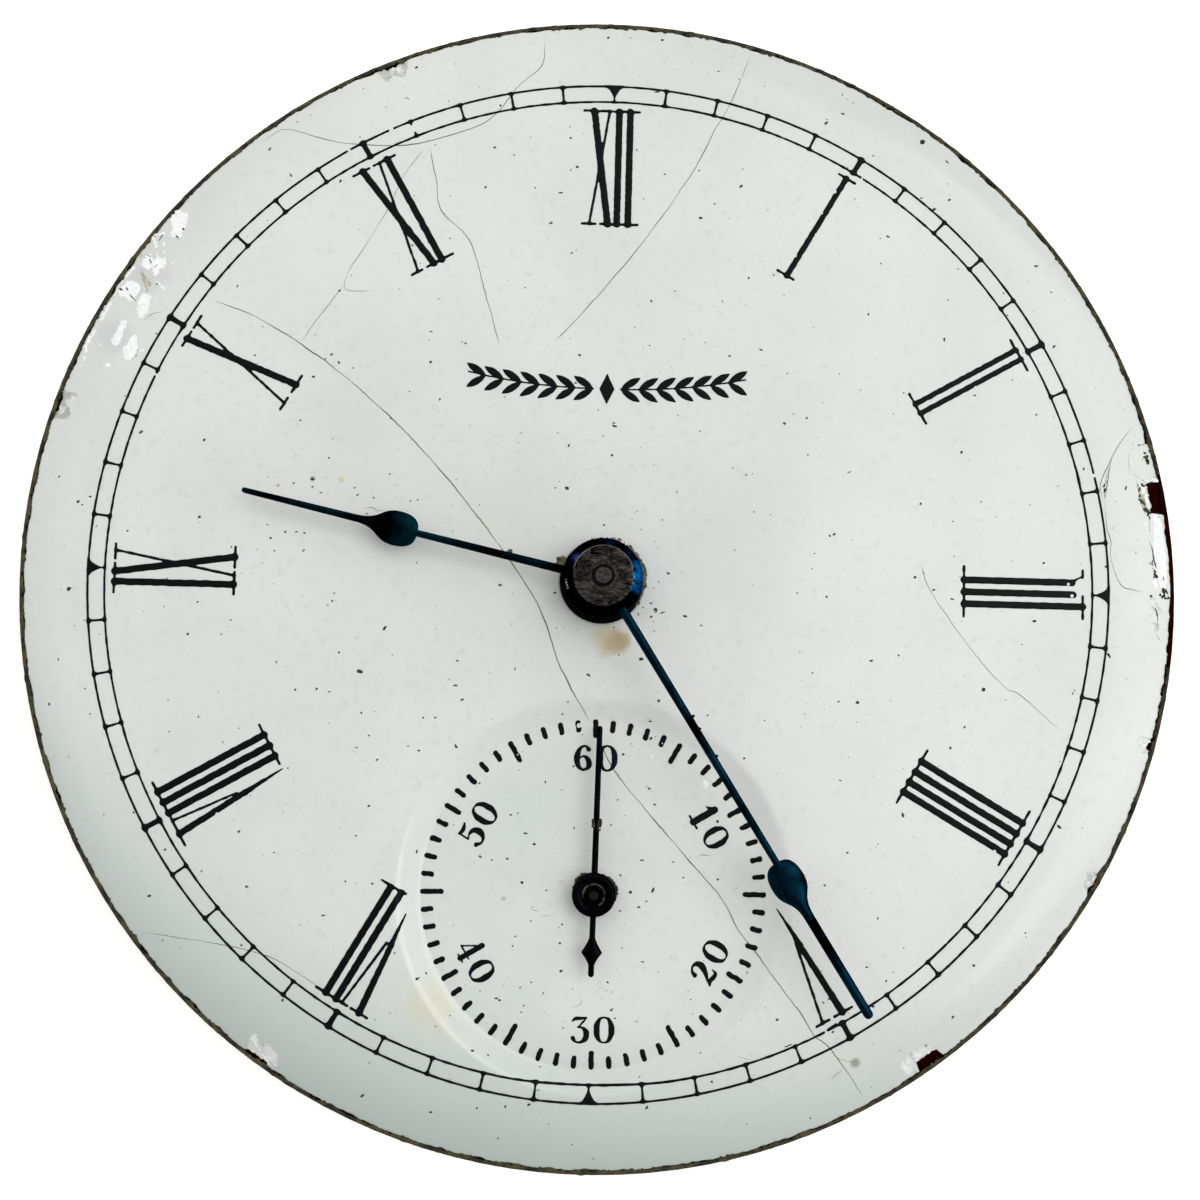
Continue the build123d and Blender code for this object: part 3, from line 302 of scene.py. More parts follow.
def make_mottled(name, tones, patch_size, detail=5, spread=(0.38, 0.62), relief=(0.6, 0.02), **finish):
    """Two tones that follow one noise, which raises the surface too: how strongly, and how high in mm."""
    material, add, shader, place = new_material(name, **finish)
    mottle = add("TexNoise", Vector=place, Scale=one_per_mm / patch_size, Detail=detail)
    share = add("MapRange", Value=mottle, From_Min=spread[0], From_Max=spread[1])
    colour = add("Mix", in_colour, Factor=share, A=tones[0], B=tones[1])
    bump = add("Bump", Strength=relief[0], Distance=relief[1] * mm, Height=mottle)
    feed(shader, Base_Color=colour, Normal=bump)
    print(name, "mottled at", patch_size, "mm")
    return material


# Painting enamel is ground fine and fired last, so it has a soft gloss and hardly any grain
black_enamel = make_mottled(
    "black_painting_enamel", ("#020304", "#080b0f"), 0.15, detail=4, spread=(0, 1), relief=(0.25, 0.01),
    Roughness=0.4, Specular_IOR_Level=0.1,
)

# %% [markdown]
# Old dirt is dried oil with dust in it: matt, olive brown, darker where it lies thick. One finish serves
# for what fills the cracks, the specks on the glass and the crust round the hub and the rim.

# %% Dirt
dusty = {"Roughness": 0.8, "IOR": 1.45}
# In a crack the white shows through, so it reads as grey
crack_dirt = make_mottled("crack_dirt", ("#4f4c41", "#8b8777"), 1.6, **dusty)
speck_dirt = make_mottled("speck_dirt", ("#1c1f1a", "#4d4a39"), 0.9, **dusty)
hub_dirt = make_mottled("dried_oil_dirt", ("#736e50", "#343020"), 0.22, **dusty)
rim_dirt = make_mottled("rim_dirt", ("#10120c", "#4a4427"), 0.5, **dusty)
# Grease this black swallows the light that dust would scatter. It is real grease on the arbor's end and the
# minute hand's stem, and painted shade in the dial's middle hole and in the groove round the arbor
black_grease_and_shade = make_mottled("black_grease_and_shade", ("#030303", "#0a0807"), 0.3, Specular_IOR_Level=0.08, **dusty)
# Crushed glass is white as sugar, and beige where oil has soaked into it. On the scars at the upper left its
# pure white is also a painted glint
glass_dust_and_glints = make_mottled("crushed_glass", ("#ffffff", "#f1f2f5"), 0.2, **dusty)
beige_glass = make_mottled("oil_stained_glass", ("#d6d1c0", "#a4a087"), 0.12, **dusty)

# %% [markdown]
# ## Making meshes
# A few small tools make nearly every piece. A shell is built from rings of points that are bridged or
# filled. A wobble is a smooth random field, the same at each run. Ink is cut out of a sampled distance
# field, because strokes of fired enamel run together with rounded corners, which a field gives by itself.

# %% Shells


class Shell:
    """Points, in millimetres, and faces, gathered ring by ring."""

    def __init__(self):
        self.points, self.faces = [], []

    def ring(self, places):
        """Adds points and returns their numbers."""
        first = len(self.points)
        self.points.extend(places)
        return list(range(first, len(self.points)))

    def circle(self, radius, height, count, middle=(0, 0)):
        """Adds a level circle, anticlockwise from +X."""
        turns = np.arange(count) * 2 * pi / count
        return self.ring([(middle[0] + radius * cos(a), middle[1] + radius * sin(a), height) for a in turns])

    def bridge(self, first, second):
        """Joins two rings of as many points with a band of faces."""
        for i, j in zip(range(len(first)), (*range(1, len(first)), 0)):
            self.faces.append((first[i], first[j], second[j], second[i]))

    def chain(self, rings, closed=False):
        """Joins rings one after the other, and the last to the first if they close."""
        for ring, following in zip(rings, (*rings[1:], rings[0]) if closed else rings[1:]):
            self.bridge(ring, following)

    def turned(self, corners, count, middle=(0, 0), closed=False):
        """Turns (radius, height) corners about an upright axis."""
        rings = [self.circle(radius, height, count, middle) for radius, height in corners]
        self.chain(rings, closed)
        return rings

    def tube(self, sections):
        """Joins sections of as many points each into a tube, capped at both its ends."""
        rings = [self.ring(section) for section in sections]
        self.faces.append(tuple(rings[0]))
        self.chain(rings)
        self.faces.append(tuple(reversed(rings[-1])))

    def level_fill(self, outer, *holes):
        """Fills the level ground between an outer ring and the rings of its holes."""
        numbers = [*outer, *(n for hole in holes for n in hole)]
        flat = [Vector(self.points[n][:2]) for n in numbers]
        edges, first = [], 0
        for loop in (outer, *holes):
            edges += [(first + i, first + (i + 1) % len(loop)) for i in range(len(loop))]
            first += len(loop)
        found = delaunay_2d_cdt(flat, edges, [], 1, 1e-6)
        middles = [np.mean([self.points[n][:2] for n in hole], 0) for hole in holes]
        reaches = [hypot(*(np.array(self.points[hole[0]][:2]) - m)) for m, hole in zip(middles, holes)]
        for corners in found[2]:
            centre = np.mean([found[0][c] for c in corners], 0)
            if all(hypot(*(centre - middle)) > reach for middle, reach in zip(middles, reaches)):
                self.faces.append(tuple(numbers[found[3][c][0]] for c in corners))


corner_test = Shell()
corner_test.turned(((1, 0), (1, 1)), 12)
print("a turned wall of 12 sides has", len(corner_test.faces), "faces")

# %% Pieces
sharp_corner = radians(50)


def add_piece(name, shell, material, slot, *replaced, body="plate_and_dial"):
    """Makes a shell into a mesh in metres that rides on a body and may stand for frame nodes."""
    mesh = bpy.data.meshes.new(name)
    mesh.from_pydata([(x * mm, y * mm, z * mm) for x, y, z in shell.points], [], shell.faces)
    work = bmesh.new()
    work.from_mesh(mesh)
    bmesh.ops.recalc_face_normals(work, faces=work.faces)
    work.to_mesh(mesh)
    work.free()
    mesh.polygons.foreach_set("use_smooth", [True] * len(mesh.polygons))
    mesh.set_sharp_from_angle(angle=sharp_corner)
    mesh.materials.append(material)
    piece = bpy.data.objects.new(name, mesh)
    bpy.context.scene.collection.objects.link(piece)
    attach(piece, body)
    if replaced:
        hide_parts(*replaced)
    print(name, len(mesh.vertices), "points,", len(mesh.polygons), "faces")
    return piece


# %% A smooth random field
wave_count = 7


def wobble(x, y, grain, seed):
    """A smooth random field, mostly between -1 and 1, with bumps about one grain apart."""
    draw = np.random.default_rng(seed)
    total = 0
    for _ in range(wave_count):
        turn, phase, stretch = draw.uniform(0, 2 * pi), draw.uniform(0, 2 * pi), draw.uniform(0.7, 1.6)
        rate = 2 * pi / (grain * stretch)
        total = total + np.sin(rate * (x * cos(turn) + y * sin(turn)) + phase)
    return total / sqrt(wave_count)


print("wobble near the middle", round(float(wobble(0, 0, 1, 1)), 3))

# %% Outlines cut from a field


def cut_field(field, us, vs):
    """Cuts out where a sampled field is negative. Returns (u, v, depth) rows and faces."""
    inside = field < 0
    number = np.full(field.shape, -1)
    number[inside] = np.arange(inside.sum())
    grid_u, grid_v = np.meshgrid(us, vs, indexing="ij")
    rows = list(zip(grid_u[inside], grid_v[inside], -field[inside]))
    crossings = {}

    def cross(a, b):
        """The point where the outline crosses between two neighbours of the grid."""
        key = (min(a, b), max(a, b))
        if key not in crossings:
            share = field[a] / (field[a] - field[b])
            crossings[key] = len(rows)
            u = us[a[0]] + share * (us[b[0]] - us[a[0]])
            v = vs[a[1]] + share * (vs[b[1]] - vs[a[1]])
            rows.append((u, v, 0))
        return crossings[key]

    count = inside[:-1, :-1].astype(int) + inside[1:, :-1] + inside[1:, 1:] + inside[:-1, 1:]
    faces = []
    for i, j in np.argwhere(count > 0):
        around = ((i, j), (i + 1, j), (i + 1, j + 1), (i, j + 1))
        face = []
        for here, following in zip(around, (*around[1:], around[0])):
            if inside[here]:
                face.append(int(number[here]))
            if inside[here] != inside[following]:
                face.append(cross(here, following))
        faces.append(tuple(face))
    return np.array(rows), faces


grid = np.linspace(-1, 1, 41)
disc = np.hypot(*np.meshgrid(grid, grid)) - 0.5
print("a disc half as wide as its grid has", len(cut_field(disc, grid, grid)[1]), "faces")

# %% Pads of ink, cut from strokes
# A pad's edge is let this far into the face below it, so that no light shows under it
sunk_by = 0.004


class Ink(Shell):
    """Raised pads of fired enamel or dirt, each with a rounded shoulder and a closed underside."""

    def __init__(self, thickness, shoulder):
        super().__init__()
        self.thickness, self.shoulder = thickness, shoulder

    def add(self, field_of, box, step, place):
        """Adds the pads of one field; place turns arrays of u and v into points on the face below."""
        us = np.arange(box[0], box[1] + step, step)
        vs = np.arange(box[2], box[3] + step, step)
        field = field_of(*np.meshgrid(us, vs, indexing="ij"))
        for edge in (field[0], field[-1], field[:, 0], field[:, -1]):
            edge[:] = np.maximum(edge, step / 2)
        if not (field < 0).any():
            return
        rows, faces = cut_field(field, us, vs)
        x, y, z = place(rows[:, 0], rows[:, 1])
        depth = rows[:, 2]
        rise = 1 - (1 - np.minimum(1, depth / self.shoulder)) ** 2
        first = len(self.points)
        self.points += list(zip(x, y, z - sunk_by + self.thickness * np.sqrt(rise)))
        under = np.arange(len(rows)) + first
        deep = np.flatnonzero(depth > 0)
        under[deep] = len(self.points) + np.arange(len(deep))
        self.points += list(zip(x[deep], y[deep], z[deep] - 2 * sunk_by))
        for face in faces:
            self.faces.append(tuple(first + n for n in face))
            self.faces.append(tuple(int(under[n]) for n in reversed(face)))


def bar(u, v, start, end, start_width, end_width):
    """Distance to a straight stroke with round ends that may taper; negative inside."""
    run, rise = end[0] - start[0], end[1] - start[1]
    along = np.clip(((u - start[0]) * run + (v - start[1]) * rise) / (run * run + rise * rise), 0, 1)
    away = np.hypot(u - start[0] - along * run, v - start[1] - along * rise)
    return away - (start_width + (end_width - start_width) * along) / 2


def strokes_of(u, v, strokes):
    """The distances to strokes: where each starts and ends, and its width or its two end widths."""
    return [bar(u, v, stroke[:2], stroke[2:4], stroke[4], stroke[-1]) for stroke in strokes]


def merged(fields, softness):
    """Several distance fields run together, with a small fillet where they meet."""
    total = fields[0]
    for field in fields[1:]:
        share = np.clip(0.5 + 0.5 * (field - total) / softness, 0, 1)
        total = field + (total - field) * share - softness * share * (1 - share)
    return total


print("the middle of a stroke one wide is", float(-bar(0, 0, (-1, 0), (1, 0), 1, 1)), "from its edge")

# %% [markdown]
# ## The white enamel of the main dial
# The glass lies level under the track and numerals, falls away in a dome at the margin, and rolls over
# into the hole of the sunk seconds dial. It could be turned from a profile, but the sink stands off the
# centre and the edge is nibbled by a century of handling, so the margin is a fan of rows whose outer
# radius changes with the bearing, the sink is its own set of rings, and the level ground is filled
# between them. Where a chip has bared the copper, the rows simply end further in.

# %% The shape of the enamel's face
copper_rim = 0.16
enamel_edge = dial_radius - copper_rim
margin_width, margin_drop = 2.28, 0.32
margin_start = enamel_edge - margin_width
sink_radius = radius_of("seconds_enamel")
# The roll into the sunk dial is one soft S: it starts outside the hole and ends a little inside it
sink_out, sink_in, sink_depth = 0.85, 0.22, dial_face - seconds_face


def sink_drop(distance):
    """How far the glass has fallen at a distance from the seconds middle."""
    share = np.clip((sink_radius + sink_out - distance) / (sink_out + sink_in), 0, 1)
    return sink_depth * (3 - 2 * share) * share**2


def face_height(x, y):
    """The height of the white face: level, domed down at the margin, rolled into the seconds dial."""
    beyond = np.clip((np.hypot(x, y) - margin_start) / margin_width, 0, None)
    from_seconds = np.hypot(x - seconds_middle[0], y - seconds_middle[1])
    return dial_face - margin_drop * beyond**2 - sink_drop(from_seconds)


print("the face falls", round(float(dial_face - face_height(0, enamel_edge)), 2), "mm at the edge")

# %% Where the glass has broken away
# Sectors of the rim, as (from, to) bearings, where the edge of the glass has gone: how far in it now
# ends, and how ragged that broken edge is
lost_edges = (
    ((77.9, 81.5), 0.53, 0.04),
    ((91.5, 105.3), 0.06, 0.03),
    ((73.1, 74.3), 0.13, 0.03),
    ((104.6, 105.6), 0.16, 0.04),
    ((142.7, 145.6), 0.4, 0.03),
    ((118.0, 121.5), 0.07, 0.03),
    ((213.0, 215.5), 0.1, 0.03),
    ((285.8, 287.6), 0.12, 0.03),
    ((335.6, 337.2), 0.1, 0.03),
    ((28.0, 31.0), 0.07, 0.03),
    ((48.0, 50.0), 0.07, 0.03),
    ((68.0, 74.0), 0.08, 0.03),
)
plain_nibble = 0.035


def edge_radius(bearing):
    """Where the glass ends at a bearing."""
    around = np.radians(bearing) * dial_radius
    bites = 0.6 + wobble(around, 0, 0.9, 11) + 0.5 * wobble(around, 0, 0.25, 12)
    nibble = plain_nibble * np.clip(bites, 0, 3)
    for (start, end), lost, ragged in lost_edges:
        inside = (bearing > start) & (bearing < end)
        share = np.clip(np.minimum(bearing - start, end - bearing) / 0.25, 0, 1)
        gone = lost * share + ragged * wobble(around, 0, 0.4, 13) + 0.5 * ragged * wobble(around, 0, 0.15, 14)
        nibble = np.where(inside, np.maximum(nibble, gone), nibble)
    return enamel_edge - nibble


# Shallow chips where a flake has left the surface: bearings, radii, depth, whiteness, dirt
flakes = (
    ((90.4, 93.6), (22.15, 22.5), 0.04, 0.55, 0.2),
    ((104.6, 105.8), (22.45, 23.15), 0.08, 0.6, 0.1),
    ((143.2, 146.6), (22.2, 22.9), 0.06, 0.55, 0.1),
    ((334.8, 338.0), (22.4, 23.15), 0.06, 0.5, 0.4),
    ((285.0, 288.2), (22.45, 23.15), 0.06, 0.5, 0.5),
    ((212.4, 216.0), (22.3, 23.15), 0.07, 0.6, 0.2),
    ((118.8, 121.0), (22.5, 23.15), 0.06, 0.5, 0.4),
)
flake_edge = 0.06


def flake_share(bearing, radius, flake):
    """How much of a flake's depth is reached at a place: 1 well inside its ragged outline."""
    (start, end), (low, high) = flake[0], flake[1]
    around = np.radians(bearing) * dial_radius
    inward = np.minimum(
        np.minimum(around - radians(start) * dial_radius, radians(end) * dial_radius - around),
        np.minimum(radius - low, high - radius),
    )
    inward = inward + 0.1 * wobble(around, radius, 0.7, 15) + 0.05 * wobble(around, radius, 0.25, 16)
    return np.clip(inward / flake_edge, 0, 1)


print("glass ends at", round(float(edge_radius(np.array(80.0))), 2), "mm where the copper is bare")

# %% The margin's rows
plain_step, fine_step = 0.25, 0.08
fine_sectors = ((72.5, 106.5), (141.5, 147.5), (212.0, 216.5), (284.5, 310.5), (334.5, 338.5))
bearings = []
bearing = 0.0
while bearing < 360:
    bearings.append(bearing)
    fine = any(start <= bearing < end for start, end in fine_sectors)
    bearing += fine_step if fine else plain_step
bearings = np.array(bearings)
guard_radius = margin_start - 0.24
row_start, row_count = 21.15, 36
enamel = Shell()


def margin_row(radii, drop=0.0):
    """Adds one ring of the margin at the given radii, following the face."""
    x, y = at_bearing(bearings, radii)
    return enamel.ring(list(zip(x, y, face_height(x, y) - drop)))


guard = margin_row(guard_radius)
rows = [guard] + [margin_row(radius) for radius in (margin_start, 20.9, 21.05)]
ends = edge_radius(bearings)
for row in range(row_count + 1):
    radii = row_start + (ends - row_start) * row / row_count
    drop = sum(flake[2] * flake_share(bearings, radii, flake) for flake in flakes)
    drop = drop * (1 + 0.35 * wobble(radii * np.radians(bearings), radii, 0.3, 17))
    if row == row_count:
        drop = drop + 0.02
    rows.append(margin_row(radii, np.minimum(drop, 0.2)))
foot = enamel.ring([(x, y, copper_front) for x, y in zip(*at_bearing(bearings, ends))])
enamel.chain([*rows, foot])
print("margin", len(bearings), "columns,", len(rows), "rows")

# %% The sink, the middle hole and the level ground
sink_count, roll_rows = 360, 14
hole_count = 160
hole_radius = dial_radius - 21.51
sink_rings = [enamel.circle(sink_radius + sink_out + 0.1, dial_face, sink_count, seconds_middle)]
for row in range(roll_rows + 1):
    radius = sink_radius + sink_out * (1 - row / roll_rows)
    sink_rings.append(enamel.circle(radius, dial_face - sink_drop(radius), sink_count, seconds_middle))
sink_wall = 0.12
for radius, height in ((sink_radius, copper_back), (sink_radius + sink_wall, copper_back)):
    sink_rings.append(enamel.circle(radius, height, sink_count, seconds_middle))
sink_rings.append(enamel.circle(sink_radius + sink_wall, copper_front, sink_count, seconds_middle))
enamel.chain(sink_rings)
hole_lip = ((0.45, 0), (0.1, 0), (0.04, 0.01), (0.01, 0.035), (0, 0.08))
hole_corners = [(hole_radius + out, dial_face - down) for out, down in hole_lip]
hole_rings = enamel.turned([*hole_corners, (hole_radius, copper_front)], hole_count)
enamel.level_fill(guard, sink_rings[0], hole_rings[0])
enamel.level_fill(foot, sink_rings[-1], hole_rings[-1])
front_enamel = add_piece("white_enamel_face", enamel, white_enamel, "white_enamel", "front_enamel")

# %% Marks that tell the shader where the glass is broken
point_x = np.array([point[0] for point in enamel.points])
point_y = np.array([point[1] for point in enamel.points])
point_radius = np.hypot(point_x, point_y)
point_bearing = np.degrees(np.arctan2(point_x, point_y)) % 360
whiteness = np.zeros(len(enamel.points))
dirtiness = np.zeros(len(enamel.points))
for flake in flakes:
    share = flake_share(point_bearing, point_radius, flake)
    whiteness = np.maximum(whiteness, share * flake[3])
    dirtiness = np.maximum(dirtiness, share * flake[4])
edge_share = np.clip((point_radius - edge_radius(point_bearing) + 0.05) / 0.05, 0, 1)
dirtiness = np.maximum(dirtiness, 0.8 * edge_share)
for mark, values in (("broken", whiteness), ("dirty", dirtiness)):
    layer = front_enamel.data.attributes.new(mark, "FLOAT", "POINT")
    layer.data.foreach_set("value", values)
print("broken points", int((whiteness > 0.1).sum()))

# %% [markdown]
# The sunk seconds dial is its own little enamelled copper, soldered behind the hole. Its glass meets the
# hole with a soft dark line, and its middle hole lets the seconds pipe through.

# %% The seconds enamel
sunk = Shell()
sunk_radius = radius_of("seconds_enamel")
sunk_hole = 0.45
roll_radii = [sunk_radius - inward for inward in (0.22, 0.18, 0.12, 0.06, 0)]
sunk.turned((
    (sunk_hole, copper_back), (sunk_hole, seconds_face - 0.05), (sunk_hole + 0.015, seconds_face - 0.015),
    (sunk_hole + 0.05, seconds_face), (sunk_hole + 0.25, seconds_face), (3.5, seconds_face),
    (sunk_radius - sink_in - 0.1, seconds_face),
    *((radius, dial_face - sink_drop(radius)) for radius in roll_radii),
    (sunk_radius + 0.01, dial_face - sink_drop(sunk_radius)), (sunk_radius + 0.01, copper_back),
), sink_count, seconds_middle, closed=True)
add_piece("sunk_enamel_face", sunk, sunk_enamel, "white_enamel", "seconds_enamel")

# %% [markdown]
# ## The fired marks
# Each numeral is a handful of strokes, measured on the real dial: their places at the top and at the
# foot, their widths, and the hairline serifs that tie them together. No two numerals are alike, because
# they were painted by hand from a plate transfer. The strokes are merged as distance fields, so the
# corners fill in just as wet enamel does.

# %% Places on the face


def swing(aside, along, turn, centre=(0, 0)):
    """A place along a direction that is turned clockwise from north, and to the right of it."""
    return (
        centre[0] + along * np.sin(turn) + aside * np.cos(turn),
        centre[1] + along * np.cos(turn) - aside * np.sin(turn),
    )


def on_face(x, y):
    """A point on the white face, or on the sunk one below its hole."""
    return x, y, face_height(x, y)


print("a quarter turn takes the north to", np.round(swing(0, 1, pi / 2), 3))

# %% Roman numerals
thick, hair, serif = 0.285, 0.115, 0.115
cap, base = 19.33, 14.6


def upright(x, width=thick, top=cap, foot=base):
    """A straight upright stroke, as the numerals list theirs."""
    return x, top, x, foot, width


# Bearing; strokes as (top x, top y, foot x, foot y, width or both); serifs as (from, to, height)
numerals = (
    (0, (
        (-0.8, cap, -0.15, base, thick), (-0.17, cap, -0.9, base, hair), upright(0.22),
        upright(0.67),
    ), ((-1.2, -0.5, cap), (-0.4, 1.05, cap), (-1.2, -0.65, base), (-0.45, 1.07, base))),
    (330, (
        (-0.57, cap, 0.2, base, thick), (0.2, cap, -0.53, base, hair), upright(0.55),
    ), ((-1.0, -0.28, cap), (-0.05, 0.9, cap), (-0.82, -0.35, base), (-0.12, 1.05, base))),
    (300, (
        (-0.38, cap, 0.33, base, thick), (0.37, cap, -0.55, base, hair),
    ), ((-0.72, -0.05, cap), (0.13, 0.7, cap), (-0.85, -0.3, base), (-0.02, 0.75, base))),
    (270, (
        upright(-0.53), (-0.13, cap, 0.57, base, thick), (0.72, cap, -0.17, base, hair),
    ), ((-0.97, 0.2, cap), (0.38, 0.97, cap), (-0.92, -0.03, base), (0.15, 0.97, base))),
    (240, (
        (-0.85, 19.3, -0.64, 16.3, 0.27, 0.24), (-0.64, 16.3, -0.52, 14.6, 0.24, 0.06),
        (-0.27, 19.3, -0.5, 16.6, hair, 0.09), upright(0.07, top=19.3), upright(0.53, top=19.3),
        upright(1.0, top=19.3),
    ), ((-1.35, 1.43, 19.3), (-0.3, 1.43, base))),
    (210, (
        (-0.75, cap, -0.44, 16.5, thick, 0.23), (-0.44, 16.5, -0.29, 15.2, 0.23, 0.06),
        (0.03, cap, -0.24, 16.5, hair), upright(0.3), upright(0.77),
    ), ((-1.12, -0.38, cap), (-0.22, 1.2, cap), (0.13, 1.2, 14.53))),
    (30, (upright(-0.12, width=0.24, top=19.38),), ((-0.48, 0.27, 19.38), (-0.55, 0.2, base))),
    (60, (upright(-0.3, width=0.23), upright(0.13, width=0.23)), ((-0.77, 0.65, cap), (-0.77, 0.6, base))),
    (90, (
        upright(-0.48, top=18.9, foot=14.53), upright(0.0, top=18.95, foot=14.53),
        upright(0.48, foot=14.53), (-0.72, 19.27, -0.5, 18.85, 0.05, 0.12),
    ), ((-0.98, -0.7, cap), (0.06, 0.97, cap), (-1.03, 1.0, 14.53))),
    (120, (
        upright(-0.53, top=19.25, foot=14.55), upright(-0.05, top=19.25, foot=14.55),
        upright(0.42, top=19.25, foot=14.55), upright(0.87, top=19.25, foot=14.55),
    ), ((-1.08, 1.37, 19.25), (-1.03, 1.38, 14.55))),
    (150, (
        (-0.2, 19.37, 0.0, 16.3, thick, 0.24), (0.0, 16.3, 0.1, 14.7, 0.24, 0.06),
        (0.68, 19.37, 0.12, 16.2, hair),
    ), ((-0.63, 0.15, 19.37), (0.38, 0.95, 19.37))),
)
print(len(numerals), "numerals of", sum(len(strokes) for _, strokes, _ in numerals), "strokes")

# %% The numerals' enamel
# Places where it has flaked off: bearing, x, y, size
numeral_nicks = (
    (30, -0.25, 18.65, 0.07), (30, 0.02, 16.7, 0.05), (30, -0.25, 15.5, 0.06), (30, -0.24, 17.6, 0.05),
    (240, -0.85, 17.65, 0.05), (90, 0.05, 18.9, 0.07), (90, -0.42, 18.75, 0.06), (60, 0.22, 17.1, 0.03),
    (120, 0.98, 18.85, 0.05), (330, 0.3, 17.0, 0.03),
)
numeral_ink = Ink(ink_thickness, 0.05)
for bearing, strokes, serifs in numerals:

    def numeral_field(x, y):
        """The field of one numeral, about the middle of its bearing."""
        fields = strokes_of(x, y, strokes)
        fields += [bar(x, y, (s[0], s[2]), (s[1], s[2]), serif, serif) for s in serifs]
        field = merged(fields, 0.07) + 0.007 * wobble(x, y, 0.35, 20 + bearing)
        for where, nick_x, nick_y, size in numeral_nicks:
            if where == bearing:
                field = np.maximum(field, size - np.hypot(x - nick_x, y - nick_y))
        return field

    def numeral_place(x, y):
        """A point of the numeral on the dial's face."""
        return on_face(*swing(x, y, radians(bearing)))

    numeral_ink.add(numeral_field, (-1.6, 1.6, 14.3, 19.6), 0.032, numeral_place)
add_piece("fired_numerals", numeral_ink, black_enamel, "black_enamel", "hour_numerals")

# %% [markdown]
# The minute track is two fine circles with a mark between them at each minute. The marks of the hours
# are heavier, and those of the quarters are little triangles with hollow sides. The track is drawn unrolled:
# one hour's sector at a time, with the length along the circle as one direction and the radius as the other.

# %% The minute track
track_outer, track_inner = 20.38, 19.72
track_middle = (track_outer + track_inner) / 2
track_line = 0.098
minute_pitch = 2 * pi * track_middle / 60
hour_sector = 5 * minute_pitch
# Ink that has worn or flaked away: minutes from XII, radius, size
track_gaps = (
    (56.0, 20.06, 0.14), (56.05, 20.2, 0.1), (55.6, 20.38, 0.09), (54.7, 20.38, 0.06),
    (25.35, 19.72, 0.05), (12.7, 20.38, 0.07), (48.9, 19.74, 0.05), (5.2, 19.72, 0.04),
)
# Thicker strokes where the pen dragged: minutes, radius, minutes, radius, widths
track_blots = (
    (12.35, 19.74, 12.72, 19.72, 0.05, 0.14), (12.72, 19.72, 12.95, 19.7, 0.14, 0.06),
    (16.1, 20.5, 16.16, 20.6, 0.1, 0.05), (26.05, 19.6, 26.18, 19.6, 0.05, 0.05),
    (25.12, 19.66, 25.3, 19.67, 0.12, 0.06),
)
track_ink = Ink(ink_thickness, 0.035)
for hour in range(12):

    def track_field(u, v):
        """The field of one hour's stretch of the track."""
        lines = [np.abs(v - radius) - track_line / 2 for radius in (track_outer, track_inner)]
        marks = []
        for minute in range(-2, 3):
            at = minute * minute_pitch
            if minute:
                marks.append(bar(u, v, (at, track_inner), (at, track_outer), 0.1, 0.11))
            elif hour % 3:
                marks.append(bar(u, v, (at, track_inner), (at, track_outer), 0.21, 0.23))
            else:
                share = np.clip((v - track_inner) / (track_outer - track_inner), 0, 1)
                wedge = np.abs(u) - 0.02 - 0.3 * share**1.8
                marks.append(np.maximum(wedge, np.maximum(track_inner - v, v - track_outer)))
        field = merged([merged(lines, 0.01), merged(marks, 0.01)], 0.13)
        field = field + 0.005 * wobble(u, v, 0.5, 40 + hour)
        for minutes, radius, size in track_gaps:
            gap_u = (minutes / 5 - hour) * hour_sector
            field = np.maximum(field, size - np.hypot(u - gap_u, v - radius))
        for start, start_radius, end, end_radius, start_width, end_width in track_blots:
            start_place = ((start / 5 - hour) * hour_sector, start_radius)
            end_place = ((end / 5 - hour) * hour_sector, end_radius)
            field = np.minimum(field, bar(u, v, start_place, end_place, start_width, end_width))
        return np.maximum(field, np.abs(u) - hour_sector / 2 - 0.01)

    def track_place(u, v):
        """A point of the unrolled track on the dial's face."""
        return on_face(*at_bearing(30 * hour + np.degrees(u / track_middle), v))

    reach = hour_sector / 2 + 0.05
    track_ink.add(track_field, (-reach, reach, 19.5, 20.68), 0.034, track_place)
add_piece("fired_minute_track", track_ink, black_enamel, "black_enamel", "minute_track")

# %% [markdown]
# The seconds dial has sixty short round-ended marks and the figures 10 to 60. The figures are drawn as a
# pen would: each stroke is a curve through a few points with its own width at each.

# %% Curves through points


def smooth_route(points, step):
    """A curve through all the points, sampled about one step apart."""
    places = [np.array(point, float) for point in points]
    knots = [2 * places[0] - places[1], *places, 2 * places[-1] - places[-2]]
    route = []
    for before, start, end, after in zip(knots, knots[1:], knots[2:], knots[3:]):
        count = max(1, ceil(float(np.linalg.norm((end - start)[:2])) / step))
        for t in np.arange(count) / count:
            linear_part = (end - before) * t
            square_part = (2 * before - 5 * start + 4 * end - after) * t**2
            cube_part = (3 * start - before - 3 * end + after) * t**3
            route.append(0.5 * (2 * start + linear_part + square_part + cube_part))
    route.append(places[-1])
    return np.array(route)


print("a curve through three points has", len(smooth_route([(0, 0), (1, 1), (2, 0)], 0.1)), "samples")

# %% Seconds marks
seconds_mark_radius = sink_radius - 0.14
# The transfer was laid on three quarters of a degree anticlockwise
seconds_lean = -0.75
mark_width = 0.22
mark_lengths = {"second": 0.52, "five": 0.95, "ten": 0.75}
